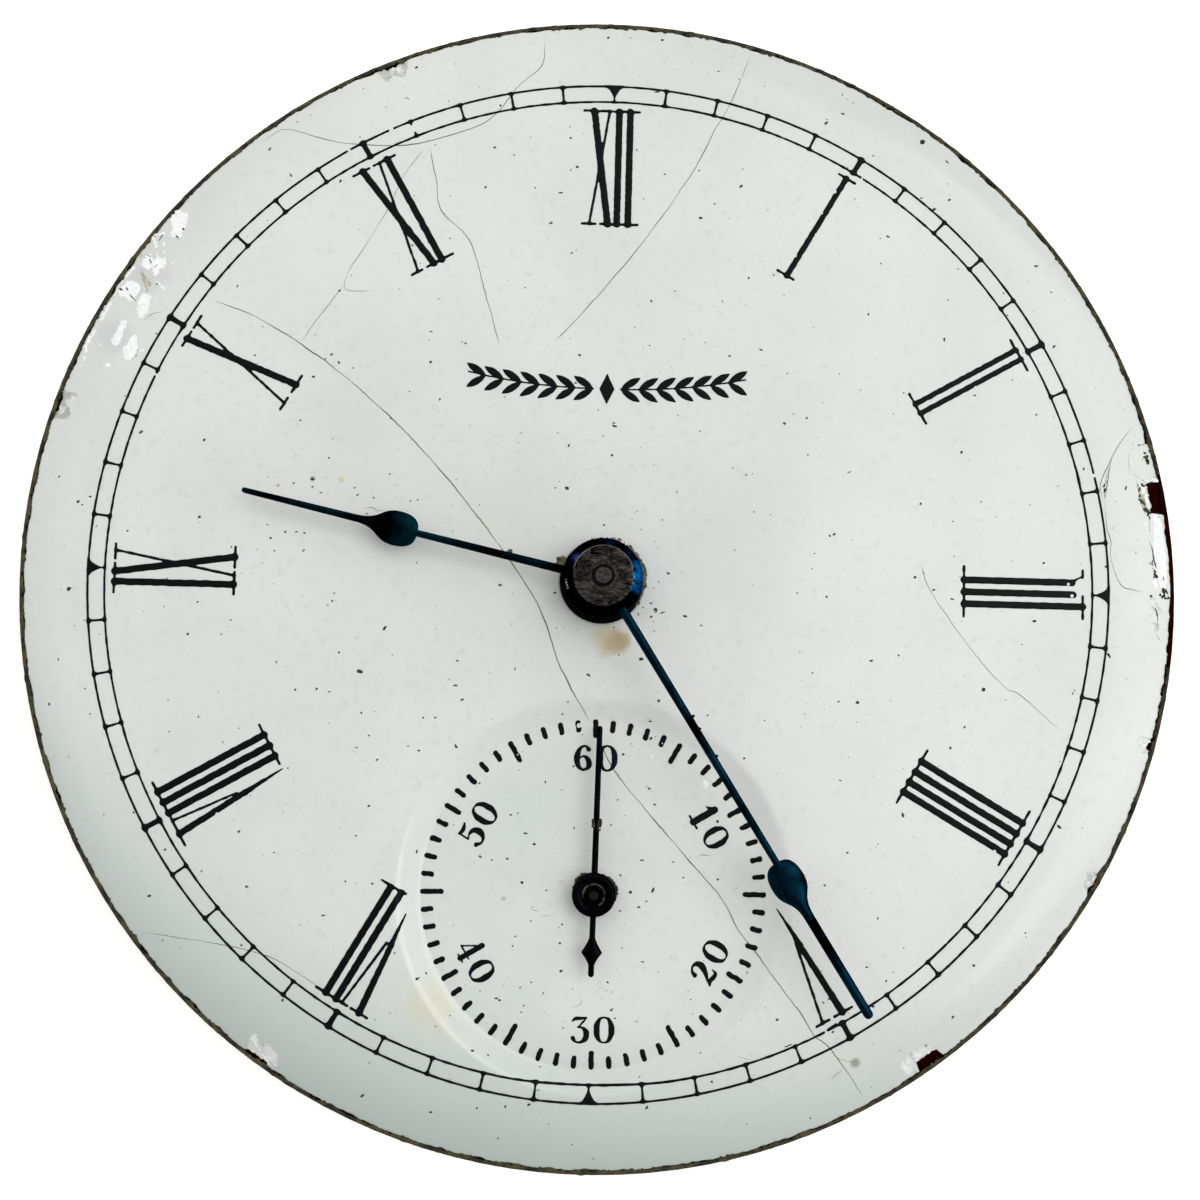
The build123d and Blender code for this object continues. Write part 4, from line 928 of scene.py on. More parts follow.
# Marks that are partly flaked: second, distance in from the outer end, size
mark_nicks = ((59, 0.22, 0.09), (4, 0.35, 0.03), (55, 0.62, 0.03))
seconds_ink = Ink(ink_thickness, 0.045)
for second in range(60):
    kind = "second" if second % 5 else "five" if second % 10 else "ten"
    length = mark_lengths[kind]

    def mark_field(u, v):
        """The field of one mark; v runs outward from its outer end."""
        half = mark_width / 2
        field = bar(u, v, (0, -length + half), (0, -half), mark_width * 0.95, mark_width)
        field = field + 0.01 * wobble(u, v, 0.3, 100 + second)
        for where, inward, size in mark_nicks:
            if where == second:
                field = np.maximum(field, size - np.hypot(u - 0.03, v + inward))
        return field

    def mark_place(u, v):
        """A point of the mark on the seconds dial."""
        turn = radians(6 * second + seconds_lean)
        return on_face(*swing(u, seconds_mark_radius + v, turn, seconds_middle))

    seconds_ink.add(mark_field, (-0.18, 0.18, -length - 0.1, 0.1), 0.024, mark_place)
add_piece("fired_seconds_marks", seconds_ink, black_enamel, "black_enamel", "seconds_track")

# %% Seconds figures
# Each figure's strokes in shares of its height: the points of the stroke as (x, y, width)
figure_shares = {
    "1": (
        ((0, 0.03, 0.19), (0, 0.97, 0.19)),
        ((-0.27, 0.75, 0.03), (-0.17, 0.8, 0.08), (-0.04, 0.94, 0.1)),
        ((-0.27, 0.03, 0.06), (0.27, 0.03, 0.06)),
    ),
    "2": (
        (
            (-0.22, 0.72, 0.13), (-0.16, 0.87, 0.08), (0, 0.955, 0.06), (0.17, 0.88, 0.13),
            (0.21, 0.68, 0.18), (0.05, 0.42, 0.13), (-0.19, 0.16, 0.05),
        ),
        (
            (-0.27, 0.04, 0.05), (-0.12, 0.12, 0.12), (0.06, 0.07, 0.13), (0.22, 0.08, 0.09),
            (0.3, 0.26, 0.03),
        ),
        ((-0.19, 0.16, 0.05), (-0.27, 0.04, 0.05)),
    ),
    "3": (
        ((-0.26, 0.82, 0.05), (-0.14, 0.91, 0.1), (0.06, 0.92, 0.09), (0.27, 0.96, 0.04)),
        ((0.27, 0.95, 0.05), (-0.03, 0.6, 0.05)),
        (
            (-0.05, 0.6, 0.05), (0.12, 0.57, 0.08), (0.25, 0.42, 0.15), (0.23, 0.18, 0.15),
            (0.04, 0.04, 0.07), (-0.15, 0.07, 0.07), (-0.24, 0.19, 0.13),
        ),
    ),
    "4": (
        ((0.11, 0.96, 0.05), (-0.26, 0.3, 0.05)),
        ((-0.28, 0.29, 0.05), (0.3, 0.29, 0.05)),
        ((0.11, 0.97, 0.15), (0.11, 0.03, 0.15)),
        ((-0.06, 0.03, 0.05), (0.27, 0.03, 0.05)),
    ),
    "5": (
        ((-0.2, 0.93, 0.08), (0, 0.88, 0.12), (0.22, 0.96, 0.05)),
        ((-0.2, 0.95, 0.05), (-0.22, 0.54, 0.05)),
        (
            (-0.22, 0.53, 0.04), (-0.03, 0.6, 0.07), (0.18, 0.52, 0.14), (0.24, 0.3, 0.18),
            (0.11, 0.08, 0.1), (-0.09, 0.04, 0.06), (-0.24, 0.17, 0.13),
        ),
    ),
    "6": (
        (
            (0.21, 0.83, 0.13), (0.09, 0.955, 0.06), (-0.11, 0.86, 0.1), (-0.23, 0.55, 0.17),
            (-0.18, 0.2, 0.13), (0, 0.04, 0.06),
        ),
        (
            (-0.01, 0.04, 0.05), (0.18, 0.13, 0.11), (0.23, 0.32, 0.16), (0.13, 0.52, 0.11),
            (-0.03, 0.56, 0.05), (-0.18, 0.42, 0.04),
        ),
    ),
    "0": (
        (
            (0, 0.965, 0.05), (-0.16, 0.9, 0.09), (-0.265, 0.68, 0.15), (-0.275, 0.5, 0.165),
            (-0.265, 0.32, 0.15), (-0.16, 0.1, 0.09), (0, 0.035, 0.05), (0.16, 0.1, 0.09),
            (0.265, 0.32, 0.15), (0.275, 0.5, 0.165), (0.265, 0.68, 0.15), (0.16, 0.9, 0.09),
            (0, 0.965, 0.05),
        ),
    ),
}
print(len(figure_shares), "different figures")

# %% The figures on the seconds dial
figure_height, figure_advance, figure_weight = 1.05, 0.97, 1.42
figure_circle = seconds_mark_radius - 1.54
figures_read_inward = ("20", "30", "40")
figure_ink = Ink(ink_thickness, 0.04)
for text in ("60", "10", "20", "30", "40", "50"):
    turn = radians(6 * int(text) + seconds_lean)
    centre = at_bearing(6 * int(text) + seconds_lean, figure_circle, seconds_middle)
    if text in figures_read_inward:
        turn += pi
    for letter, side in zip(text, (-1, 1)):
        pen = []
        for stroke in figure_shares[letter]:
            route = smooth_route(stroke, 0.06) * figure_height
            pen += [(route[i], route[i + 1]) for i in range(len(route) - 1)]

        def figure_field(x, y):
            """The field of one figure, standing on y = 0 about the middle of its width."""
            bars = [
                bar(x, y, start[:2], end[:2], figure_weight * start[2], figure_weight * end[2])
                for start, end in pen
            ]
            return np.min(bars, 0) + 0.005 * wobble(x, y, 0.3, 200 + int(text) + side)

        def figure_place(x, y):
            """A point of the figure on the seconds dial."""
            aside, along = x + side * figure_advance / 2, y - figure_height / 2
            return on_face(*swing(aside, along, turn, centre))

        figure_ink.add(figure_field, (-0.5, 0.5, -0.12, 1.18), 0.02, figure_place)
add_piece("fired_seconds_figures", figure_ink, black_enamel, "black_enamel", "seconds_figures")

# %% [markdown]
# Below XII lies a small laurel spray: two curved stems of paired leaves that spring from a lozenge, with
# a berry at each pair.

# %% The laurel spray
ornament_distance, ornament_reach, ornament_rise = 7.8, 5.6, 0.55
lozenge_width, lozenge_height = 0.62, 1.3
stem_start, stem_width = 0.55, 0.07
leaf_count, leaf_length, leaf_width, leaf_angle = 7, 0.95, 0.3, 32
berry_radius = 0.07
pair_pitch = (ornament_reach - stem_start) / leaf_count
stem_points = []
for pair in range(leaf_count + 1):
    share = pair / leaf_count
    stem_points.append((stem_start + (ornament_reach - stem_start) * share, ornament_rise * share**2))
# A leaf is where two equal circles overlap: their radius and how far apart they stand
leaf_circle = (leaf_length**2 + leaf_width**2) / (4 * leaf_width)
leaf_offset = leaf_circle - leaf_width / 2


def spray_field(x, y):
    """The field of the spray; one half is drawn and mirrored."""
    x = np.abs(x)
    fields = [(x / (lozenge_width / 2) + np.abs(y) / (lozenge_height / 2) - 1) * lozenge_width / 2]
    for start, end in zip(stem_points, stem_points[1:]):
        fields.append(bar(x, y, start, end, stem_width, stem_width))
    for point in stem_points[:-1]:
        for lean in (-1, 1):
            turn = radians(lean * leaf_angle)
            along = (x - point[0]) * cos(turn) + (y - point[1]) * sin(turn) - leaf_length / 2
            aside = (y - point[1]) * cos(turn) - (x - point[0]) * sin(turn)
            fields.append(np.hypot(along, np.abs(aside) + leaf_offset) - leaf_circle)
        berry = (point[0] + pair_pitch / 2, point[1] + leaf_width)
        fields.append(np.hypot(x - berry[0], y - berry[1]) - berry_radius)
    return merged(fields, 0.03) + 0.004 * wobble(x, y, 0.3, 60)


def spray_place(x, y):
    """A point of the spray on the dial's face."""
    return on_face(x, y + ornament_distance)


spray_ink = Ink(ink_thickness, 0.04)
spray_ink.add(spray_field, (-6.5, 6.5, -1.0, 1.6), 0.03, spray_place)
add_piece("fired_laurel_spray", spray_ink, black_enamel, "black_enamel", "dial_ornament")

# %% [markdown]
# ## Cracks, specks and dirt
# Enamel cracks when the copper under it is bent. Each crack shows as a hair of dirt, wider in some places
# than in others. It could be a line in the shader, but a thin raised thread of real dirt stays sharp from
# any side. The threads follow the routes seen on the dial.

# %% Cracks
crack_routes = (
    (0.055, (
        (-15.93, 10.92), (-14.29, 10.35), (-12.43, 9.3), (-10.57, 8.01), (-8.28, 6.04), (-6.2, 3.87),
        (-4.11, 1.31), (-2.86, -0.45), (-2.22, -1.63), (-1.58, -3.4), (-0.32, -5.62),
    )),
    (0.05, (
        (0.11, -6.34), (0.86, -7.7), (3.4, -10.59), (5.0, -12.35), (5.85, -13.76), (6.47, -14.49),
        (7.19, -15.44), (7.78, -16.18), (8.31, -16.87), (8.78, -17.62), (9.39, -18.09), (10.78, -19.96),
    )),
    (0.03, ((9.39, -18.09), (9.75, -18.45), (10.4, -18.62))),
    (0.03, ((9.95, -18.85), (9.55, -19.15), (9.4, -19.35))),
    (0.045, (
        (-2.93, 22.25), (-3.02, 21.18), (-3.9, 20.3), (-4.69, 19.22), (-5.48, 18.56), (-7.1, 17.95),
        (-8.72, 17.6), (-10.76, 17.61), (-11.99, 17.82), (-13.43, 18.19), (-14.34, 17.62),
    )),
    (0.042, ((-7.5, 17.64), (-7.16, 16.19), (-6.91, 14.94), (-5.73, 13.73), (-5.05, 11.68), (-4.37, 9.43))),
    (0.032, ((-7.7, 17.51), (-8.47, 16.35), (-9.22, 14.65), (-10.73, 11.78), (-9.5, 11.53))),
    (0.03, ((-10.73, 11.78), (-12.36, 9.34))),
    (0.04, (
        (5.55, 21.92), (4.88, 20.1), (4.36, 19.11), (3.18, 16.75), (1.2, 13.75), (-1.17, 10.77),
        (-2.15, 9.71),
    )),
    (0.028, ((12.77, 1.19), (13.18, -0.01), (14.73, -2.17), (16.14, -3.73), (16.83, -4.11), (18.43, -5.45))),
    (0.035, (
        (21.46, 7.0), (21.29, 6.75), (20.83, 6.15), (20.53, 5.69), (20.37, 5.32), (20.21, 4.95),
        (20.08, 4.58), (20.05, 4.29), (20.18, 3.76),
    )),
    (0.035, ((20.51, 5.64), (20.4, 5.11), (20.31, 4.38), (20.24, 3.8))),
    (0.03, (
        (20.21, 3.75), (20.31, 2.72), (20.49, 2.2), (20.46, 1.53), (20.87, 0.46), (21.42, 0.27),
        (21.91, 0.19),
    )),
    (0.03, ((-17.61, -14.23), (-14.42, -14.61), (-12.53, -15.07), (-10.62, -16.13))),
)
thread_step = 0.06
# A thread's section, as shares of its half width and heights above the face
thread_corners = ((-1, -0.003), (0, 0.006), (1, -0.003), (0, -0.01))


def lay_thread(shell, points, width, seed):
    """A closed thread of dirt lying on the face; it wanders a little and thins out at both ends."""
    route = smooth_route(points, thread_step)
    run = np.gradient(route, axis=0)
    aside = np.column_stack((-run[:, 1], run[:, 0])) / np.hypot(run[:, 0], run[:, 1])[:, None]
    arc = np.arange(len(route)) * thread_step
    wander = 0.012 * wobble(arc, 0, 1.3, seed) + 0.006 * wobble(arc, 0, 0.3, seed + 1)
    route = route + aside * wander[:, None]
    ends = np.clip(np.minimum(arc, arc[-1] - arc) / 0.5, 0.1, 1)
    half = width / 2 * np.clip(1.15 + 0.35 * wobble(arc, 0, 1.5, seed + 2), 0.6, 1.7) * ends
    sections = []
    for middle, side, reach in zip(route, aside, half):
        section = []
        for share, lift in thread_corners:
            x, y = middle + side * reach * share
            section.append((x, y, float(face_height(x, y)) + lift))
        sections.append(section)
    shell.tube(sections)


cracks = Shell()
for seed, (width, points) in enumerate(crack_routes):
    lay_thread(cracks, points, width, 300 + 5 * seed)
add_piece("crack_dirt_lines", cracks, crack_dirt, "white_enamel")

# %% Black cracks of the chipped block at III, and stray hairs
block_routes = (
    (0.03, ((21.19, 5.9), (21.25, 5.46), (21.31, 4.98))),
    (0.022, ((21.19, 5.92), (21.38, 6.02), (21.62, 6.1))),
    (0.085, ((21.62, 6.13), (21.83, 6.22), (22.1, 6.33))),
    (0.045, ((21.31, 4.98), (21.5, 4.95), (21.64, 4.92))),
    (0.035, ((21.64, 4.9), (21.8, 4.78), (21.96, 4.68))),
    (0.06, ((22.19, 4.94), (22.37, 4.9), (22.56, 4.88))),
    (0.03, ((21.96, 4.66), (22.25, 4.69), (22.54, 4.72))),
    (0.03, ((21.52, 4.84), (21.61, 4.43), (21.7, 4.01), (21.84, 3.55), (21.97, 3.27))),
    (0.03, ((22.11, 3.17), (22.11, 2.78), (22.08, 2.47))),
    (0.085, ((22.05, 2.34), (22.14, 2.13), (22.22, 1.85), (22.28, 1.54), (22.37, 1.24), (22.42, 1.01))),
    (0.03, ((22.01, 0.16), (22.12, 0.09), (22.21, 0.02))),
    (0.03, ((-18.8, 9.95), (-18.48, 10.21), (-18.22, 10.32), (-17.95, 10.39))),
    (0.05, ((22.18, -0.33), (22.41, -0.6), (22.41, -1.33))),
    (0.05, ((22.27, -1.43), (22.59, -1.79))),
    (0.04, ((20.47, -2.0), (20.55, -2.09), (20.66, -2.12))),
    (0.04, ((-11.32, 3.8), (-11.16, 3.87), (-11.0, 3.84))),
    (0.04, ((-8.46, 3.6), (-8.31, 3.66), (-8.14, 3.64))),
    (0.03, ((-9.62, 2.62), (-9.3, 2.7), (-9.0, 2.58), (-8.67, 2.63))),
    (0.03, ((0.22, -16.29), (0.27, -16.13), (0.39, -16.04), (0.61, -16.08))),
    (0.03, ((0.27, -16.32), (0.38, -16.44), (0.57, -16.48))),
    (0.03, ((-0.41, -16.4), (-0.38, -16.64), (-0.56, -16.8), (-0.85, -16.79))),
    (0.04, ((-1.43, -11.93), (-1.3, -11.92), (-1.15, -11.9))),
    (0.04, ((5.77, -18.45), (6.0, -18.5), (6.3, -18.58))),
    (0.04, ((-2.46, -13.03), (-2.3, -13.08), (-2.09, -13.1))),
    (0.03, ((-2.16, -13.34), (-1.85, -13.3), (-1.5, -13.2))),
    (0.03, ((4.02, -10.89), (4.28, -10.76), (4.71, -10.78))),
    (0.03, ((5.54, -12.22), (5.68, -12.05), (5.8, -11.9))),
)
hairs = Shell()
for seed, (width, points) in enumerate(block_routes):
    lay_thread(hairs, points, width, 400 + 5 * seed)
print("block and hairs", len(hairs.points), "points")

# %% [markdown]
# The glass is peppered with specks: dust burnt in, dirt in pinholes, short dark dashes left by a brush.
# Some stand out enough to be listed one by one; the rest are scattered with a seeded draw, mostly tiny.

# %% Specks
speck_corners = 9


def add_speck(shell, seed, x, y, length, width, turn=0):
    """A flat crumb of dirt with an irregular outline, turned by some degrees."""
    draw = np.random.default_rng(seed)
    floor = float(face_height(x, y))
    ring = []
    for corner in range(speck_corners):
        angle = 2 * pi * corner / speck_corners
        reach = draw.uniform(0.6, 1.15)
        along, aside = length / 2 * reach * cos(angle), width / 2 * reach * sin(angle)
        ring.append((*swing(along, aside, -radians(turn), (x, y)), floor - 0.002))
    ring = shell.ring(ring)
    peak, root = shell.ring([(x, y, floor + 0.25 * width), (x, y, floor - 0.01)])
    for here, following in zip(ring, (*ring[1:], ring[0])):
        shell.faces += [(here, following, peak), (following, here, root)]


# Specks listed one by one: x, y, length, width, and the turn of a few
main_specks = (
    (-3.72, 1.07, 0.32, 0.26, 30), (-4.05, -0.26, 0.16, 0.13), (-1.5, 3.72, 0.26, 0.14, -15),
    (2.65, 0.4, 0.15, 0.11), (2.18, -1.05, 0.2, 0.14, 10), (3.35, -1.3, 0.18, 0.13),
    (1.65, -3.05, 0.24, 0.16), (4.0, -1.65, 0.17, 0.07, 20), (2.45, -1.18, 0.3, 0.07, 20),
    (1.98, -0.82, 0.14, 0.1), (0.3, 6.42, 0.2, 0.08), (-9.5, -3.85, 0.26, 0.22),
    (17.75, 1.25, 0.16, 0.12), (10.3, -4.55, 0.2, 0.16), (15.35, -3.9, 0.16, 0.22),
    (-21.08, -0.88, 0.22, 0.16, 40), (-11.67, 3.79, 0.2, 0.14, 20), (12.72, 18.55, 0.26, 0.3, 60),
    (-1.45, 16.95, 0.16, 0.12), (-12.4, 3.6, 0.14, 0.1), (-9.85, 2.3, 0.14, 0.1),
    (9.85, 4.7, 0.22, 0.07, 30), (6.2, 9.6, 0.22, 0.08, -30), (-7.05, -6.9, 0.16, 0.1),
    (1.05, -6.85, 0.16, 0.12), (-5.75, 9.5, 0.12, 0.1), (9.1, 2.1, 0.12, 0.12),
    (-9.85, 3.2, 0.2, 0.07, 35), (-11.9, 1.61, 0.14, 0.09), (-12.66, 1.63, 0.12, 0.1),
    (-12.22, 1.64, 0.14, 0.08, 20), (-13.24, 1.37, 0.12, 0.1), (-13.06, 0.86, 0.11, 0.09),
    (-9.21, 3.1, 0.12, 0.08), (-9.98, 3.48, 0.12, 0.08, 30), (-11.66, 3.47, 0.12, 0.1),
    (-7.73, 3.02, 0.14, 0.08, 20), (-7.45, 3.07, 0.1, 0.08), (-9.46, 2.45, 0.12, 0.08),
    (22.13, 0.04, 0.16, 0.12), (21.93, 5.72, 0.24, 0.16, 30), (22.05, 5.45, 0.16, 0.12),
    (11.06, -16.42, 0.14, 0.12), (9.5, -17.44, 0.16, 0.1, 40),
)
seconds_specks = (
    (-3.37, -9.36, 0.15, 0.09), (-3.08, -9.29, 0.11, 0.07), (-2.76, -10.07, 0.19, 0.09),
    (-4.54, -11.02, 0.13, 0.1, 20), (-3.45, -11.09, 0.15, 0.11), (-2.84, -12.0, 0.19, 0.13, -10),
    (1.47, -12.29, 0.15, 0.13), (1.81, -12.86, 0.17, 0.11), (2.11, -12.62, 0.15, 0.07, 20),
    (2.01, -14.99, 0.21, 0.07), (2.34, -8.81, 0.13, 0.1), (0.65, -15.81, 0.13, 0.1),
    (0.98, -17.2, 0.11, 0.1), (1.83, -17.3, 0.1, 0.07), (3.94, -16.41, 0.1, 0.07),
    (-4.57, -18.48, 0.15, 0.11), (-3.72, -16.53, 0.21, 0.09), (-3.59, -16.6, 0.13, 0.11),
    (1.07, -13.02, 0.15, 0.07), (1.89, -11.02, 0.26, 0.07), (0.62, -9.66, 0.15, 0.07, 30),
    (-1.21, -13.61, 0.1, 0.1), (-2.45, -13.5, 0.11, 0.07), (-1.28, -14.34, 0.11, 0.11),
    (0.87, -8.66, 0.11, 0.07), (-6.5, -15.59, 0.13, 0.1), (3.55, -11.66, 0.1, 0.1),
    (4.92, -11.7, 0.13, 0.1), (1.05, -11.63, 0.1, 0.1), (2.37, -4.69, 0.17, 0.13),
    (2.1, -5.5, 0.15, 0.11), (5.83, -6.88, 0.13, 0.1), (-2.73, -17.05, 0.1, 0.07),
    (7.3, -17.01, 0.15, 0.13), (1.98, -19.39, 0.11, 0.09), (-1.92, -19.12, 0.11, 0.07),
)
hub_specks = (
    (1.34, 2.87, 0.11, 0.05), (2.36, 2.55, 0.06, 0.11), (1.53, 2.14, 0.08, 0.06, 20),
    (2.07, 1.67, 0.06, 0.07), (2.27, 0.05, 0.06, 0.09), (2.07, -0.22, 0.11, 0.05),
    (1.67, -1.0, 0.11, 0.07), (2.19, -1.15, 0.21, 0.06, 20), (1.99, -1.36, 0.13, 0.11),
    (1.49, -1.27, 0.06, 0.14), (2.1, -1.54, 0.06, 0.05), (2.14, -1.92, 0.11, 0.06),
    (2.58, 0.44, 0.07, 0.06),
)
print("placed by hand:", len(main_specks) + len(seconds_specks) + len(hub_specks))

# %% The scattered ones, and two white flecks
scatter_count = 760
speck_draw = np.random.default_rng(5)
specks = Shell()
for number, speck in enumerate((*main_specks, *seconds_specks, *hub_specks)):
    add_speck(specks, 500 + number, *speck)
for number in range(scatter_count):
    x, y = at_bearing(speck_draw.uniform(0, 360), 22.6 * sqrt(speck_draw.uniform(0.006, 1)))
    length = 0.045 + 0.055 * speck_draw.exponential()
    width = length * speck_draw.uniform(0.35, 0.9)
    turn = np.degrees(speck_draw.normal(0.45, 0.7))
    off_sink = hypot(x - seconds_middle[0], y - seconds_middle[1]) - sink_radius
    if -0.15 < off_sink < 0.15:
        continue
    add_speck(specks, 700 + number, x, y, min(length, 0.3), min(width, 0.12), turn)
add_piece("dirt_specks", specks, speck_dirt, "white_enamel")
white_flecks = Shell()
for number, fleck in enumerate(((2.17, -6.9, 0.21, 0.13), (4.33, -7.94, 0.3, 0.4))):
    add_speck(white_flecks, 690 + number, *fleck)
add_piece("white_glass_flecks", white_flecks, glass_dust_and_glints, "white_enamel")

# %% [markdown]
# Dried oil and dust form a crust round the hub, and dirt fills the step between the glass and the copper's
# turned-up rim. Both are cut from fields, as the ink is, but with very ragged edges.

# %% Crust round the hub
hub_crust = Ink(0.05, 0.12)


def crust_field(u, v):
    """A ragged ring round the hub: thick at the top and right, with a blob at the left."""
    bearing = np.degrees(np.arctan2(u, v)) % 360
    radius = np.hypot(u, v)
    thickest = 0.5 + 0.5 * np.cos(np.radians(bearing - 45))
    outer = 1.44 + 0.39 * thickest + 0.05 * wobble(u, v, 0.35, 31) + 0.03 * wobble(u, v, 0.12, 32)
    blob = np.hypot(u + 1.62, v - 0.72) - 0.24 + 0.05 * wobble(u, v, 0.3, 33)
    return np.maximum(np.minimum(radius - outer, blob), hole_radius - 0.05 - radius)


hub_crust.add(crust_field, (-2.1, 2.1, -2.1, 2.1), 0.03, on_face)
add_piece("hub_crust", hub_crust, hub_dirt, "white_enamel")
# Painted shade: a black ring fills the dial's middle hole, so the gap round the hour hand's socket is dark
painted_hole_shade = Shell()
painted_hole_shade.turned((
    (1.3, dial_face - 0.3), (1.3, dial_face - 0.02), (hole_radius - 0.04, dial_face + 0.005),
    (hole_radius + 0.02, dial_face + 0.004), (hole_radius + 0.01, dial_face - 0.3),
), hole_count, closed=True)
add_piece("painted_hole_shade", painted_hole_shade, black_grease_and_shade, "white_enamel")
seconds_oil = Ink(0.04, 0.05)


def seconds_oil_field(u, v):
    """A thin broken crust on the sunk dial beside the seconds hub, most of it at the right."""
    bearing = np.degrees(np.arctan2(u, v)) % 360
    right = np.clip(1.15 - np.abs(bearing - 80) / 60, 0, 1)
    left = 0.7 * np.clip(1.15 - np.abs(bearing - 315) / 35, 0, 1)
    outer = 0.8 + 0.17 * np.maximum(right, left) + 0.03 * wobble(u, v, 0.18, 40)
    return np.maximum(np.hypot(u, v) - outer, 0.62 - np.hypot(u, v))


def sunk_place(u, v):
    """A point on the sunk dial, from its middle."""
    return on_face(u + seconds_middle[0], v + seconds_middle[1])


seconds_oil.add(seconds_oil_field, (-1.1, 1.1, -1.1, 1.1), 0.025, sunk_place)
add_piece("seconds_oil_crust", seconds_oil, rim_dirt, "white_enamel")

# %% Dirt along the rim
rim_crust = Ink(0.05, 0.05)
rim_sector = radians(30) * dial_radius
# Beside the broken glass at III the copper's edge is clean of dirt between these bearings
clean_copper = (77.4, 97.0)
for sector in range(12):

    def rim_field(u, v):
        """A ragged dark line over the step at the rim."""
        around = u + sector * rim_sector
        inner = 23.0 - 0.04 * wobble(around, 0, 1.1, 34) - 0.03 * wobble(around, 0, 0.3, 35)
        outer = 23.165 + 0.02 * wobble(around, 0, 0.5, 36)
        bare_from, bare_to = (radians(bearing) * dial_radius for bearing in clean_copper)
        clean = np.minimum(around - bare_from, bare_to - around)
        ends = np.maximum(np.abs(u) - rim_sector / 2 - 0.01, clean)
        return np.maximum(np.maximum(inner - v, v - outer), ends)

    def rim_place(u, v):
        """A point of the dirt, on the glass or on the rim's edge."""
        x, y = at_bearing(30 * sector + np.degrees(u / dial_radius), v)
        glass = dial_face - margin_drop * ((np.minimum(v, enamel_edge) - margin_start) / margin_width)**2
        return x, y, np.where(v < enamel_edge - 0.05, glass, dial_face - margin_drop - 0.03)

    reach = rim_sector / 2 + 0.05
    rim_crust.add(rim_field, (-reach, reach, 22.78, 23.23), 0.036, rim_place)
add_piece("rim_crust", rim_crust, rim_dirt, "copper")

# %% [markdown]
# Where a knock has crushed the glass without lifting it out, it is white as sugar: a crowd of scars high at
# the left, whose pure white is also a painted glint where they catch the light, and a long strip beside the
# bare copper at III. It could be painted in the shader, but the edges are crisp and torn, so each scar is a
# thin crust cut from a few tapering strokes and some noise.
# The same strokes lay the olive dirt that has settled in the broken glass.

# %% Crushed glass with painted glints, and the dirt in it
# Strokes from x, y to x, y, with their width, or the width at each end
glinting_scar_strokes = (
    (-17.56, 14.36, -17.59, 13.67, 0.64, 0.43), (-17.39, 14.36, -17.47, 13.96, 0.48),
    (-18.57, 13.57, -18.39, 13.16, 0.12, 0.14), (-18.52, 13.64, -18.07, 13.7, 0.11, 0.06),
    (-18.1, 13.39, -18.07, 13.19, 0.13, 0.1), (-18.73, 12.45, -18.64, 12.42, 0.53),
    (-18.27, 12.42, -18.16, 12.42, 0.5), (-18.33, 12.36, -18.32, 11.97, 0.43, 0.21),
    (-18.75, 12.71, -18.64, 12.82, 0.21, 0.09), (-19.37, 11.4, -19.25, 11.29, 0.61, 0.66),
    (-19.67, 11.24, -19.16, 10.87, 0.37, 0.21), (-18.69, 10.9, -18.77, 10.45, 0.45, 0.48),
    (-18.77, 10.45, -18.81, 10.2, 0.43, 0.19), (-19.5, 9.91, -19.79, 9.16, 0.27, 0.37),
    (-19.05, 9.26, -19.09, 8.95, 0.32, 0.43), (-19.21, 8.76, -19.28, 8.51, 0.58, 0.32),
    (-19.2, 12.31, -19.53, 11.89, 0.07, 0.12), (-19.53, 11.89, -19.76, 11.61, 0.09, 0.05),
    (-20.13, 10.76, -20.45, 10.06, 0.16, 0.14), (-20.67, 9.61, -20.97, 9.11, 0.13, 0.16),
    (-21.02, 9.06, -21.02, 8.72, 0.14, 0.1), (-21.0, 8.5, -21.22, 8.05, 0.1, 0.05),
    (-19.97, 11.1, -19.88, 11.3, 0.11, 0.06), (-20.05, 8.17, -19.99, 8.15, 0.18, 0.14),
    (-18.28, 11.66, -17.94, 11.34, 0.06, 0.1), (-17.64, 12.42, -17.62, 12.36, 0.12, 0.06),
    (-18.05, 12.93, -18.04, 12.89, 0.1, 0.09), (-18.33, 12.82, -18.31, 12.7, 0.09, 0.07),
    (-18.78, 8.77, -18.6, 8.83, 0.09, 0.12), (-20.45, 9.02, -20.43, 9.01, 0.07),
    (-17.7, 14.66, -17.68, 14.63, 0.12),
)
strip_strokes = (
    (22.44, 3.09, 22.53, 2.02, 0.39, 0.56), (22.53, 2.02, 22.66, 0.73, 0.56, 0.44),
    (22.63, 0.73, 22.69, 0.42, 0.4, 0.25), (22.36, 3.32, 22.44, 3.09, 0.2, 0.39),
    (21.93, 2.98, 22.04, 2.52, 0.06, 0.08), (22.29, 0.61, 22.35, 0.46, 0.2, 0.15),
    (22.25, 4.88, 22.51, 4.8, 0.05, 0.08), (21.94, 4.76, 22.48, 4.75, 0.07, 0.05),
    (21.82, 4.44, 21.85, 4.23, 0.17, 0.15), (21.95, 4.18, 22.0, 3.82, 0.12, 0.15),
    (22.06, 3.67, 22.08, 3.56, 0.1), (21.79, 4.59, 21.82, 4.57, 0.1),
)
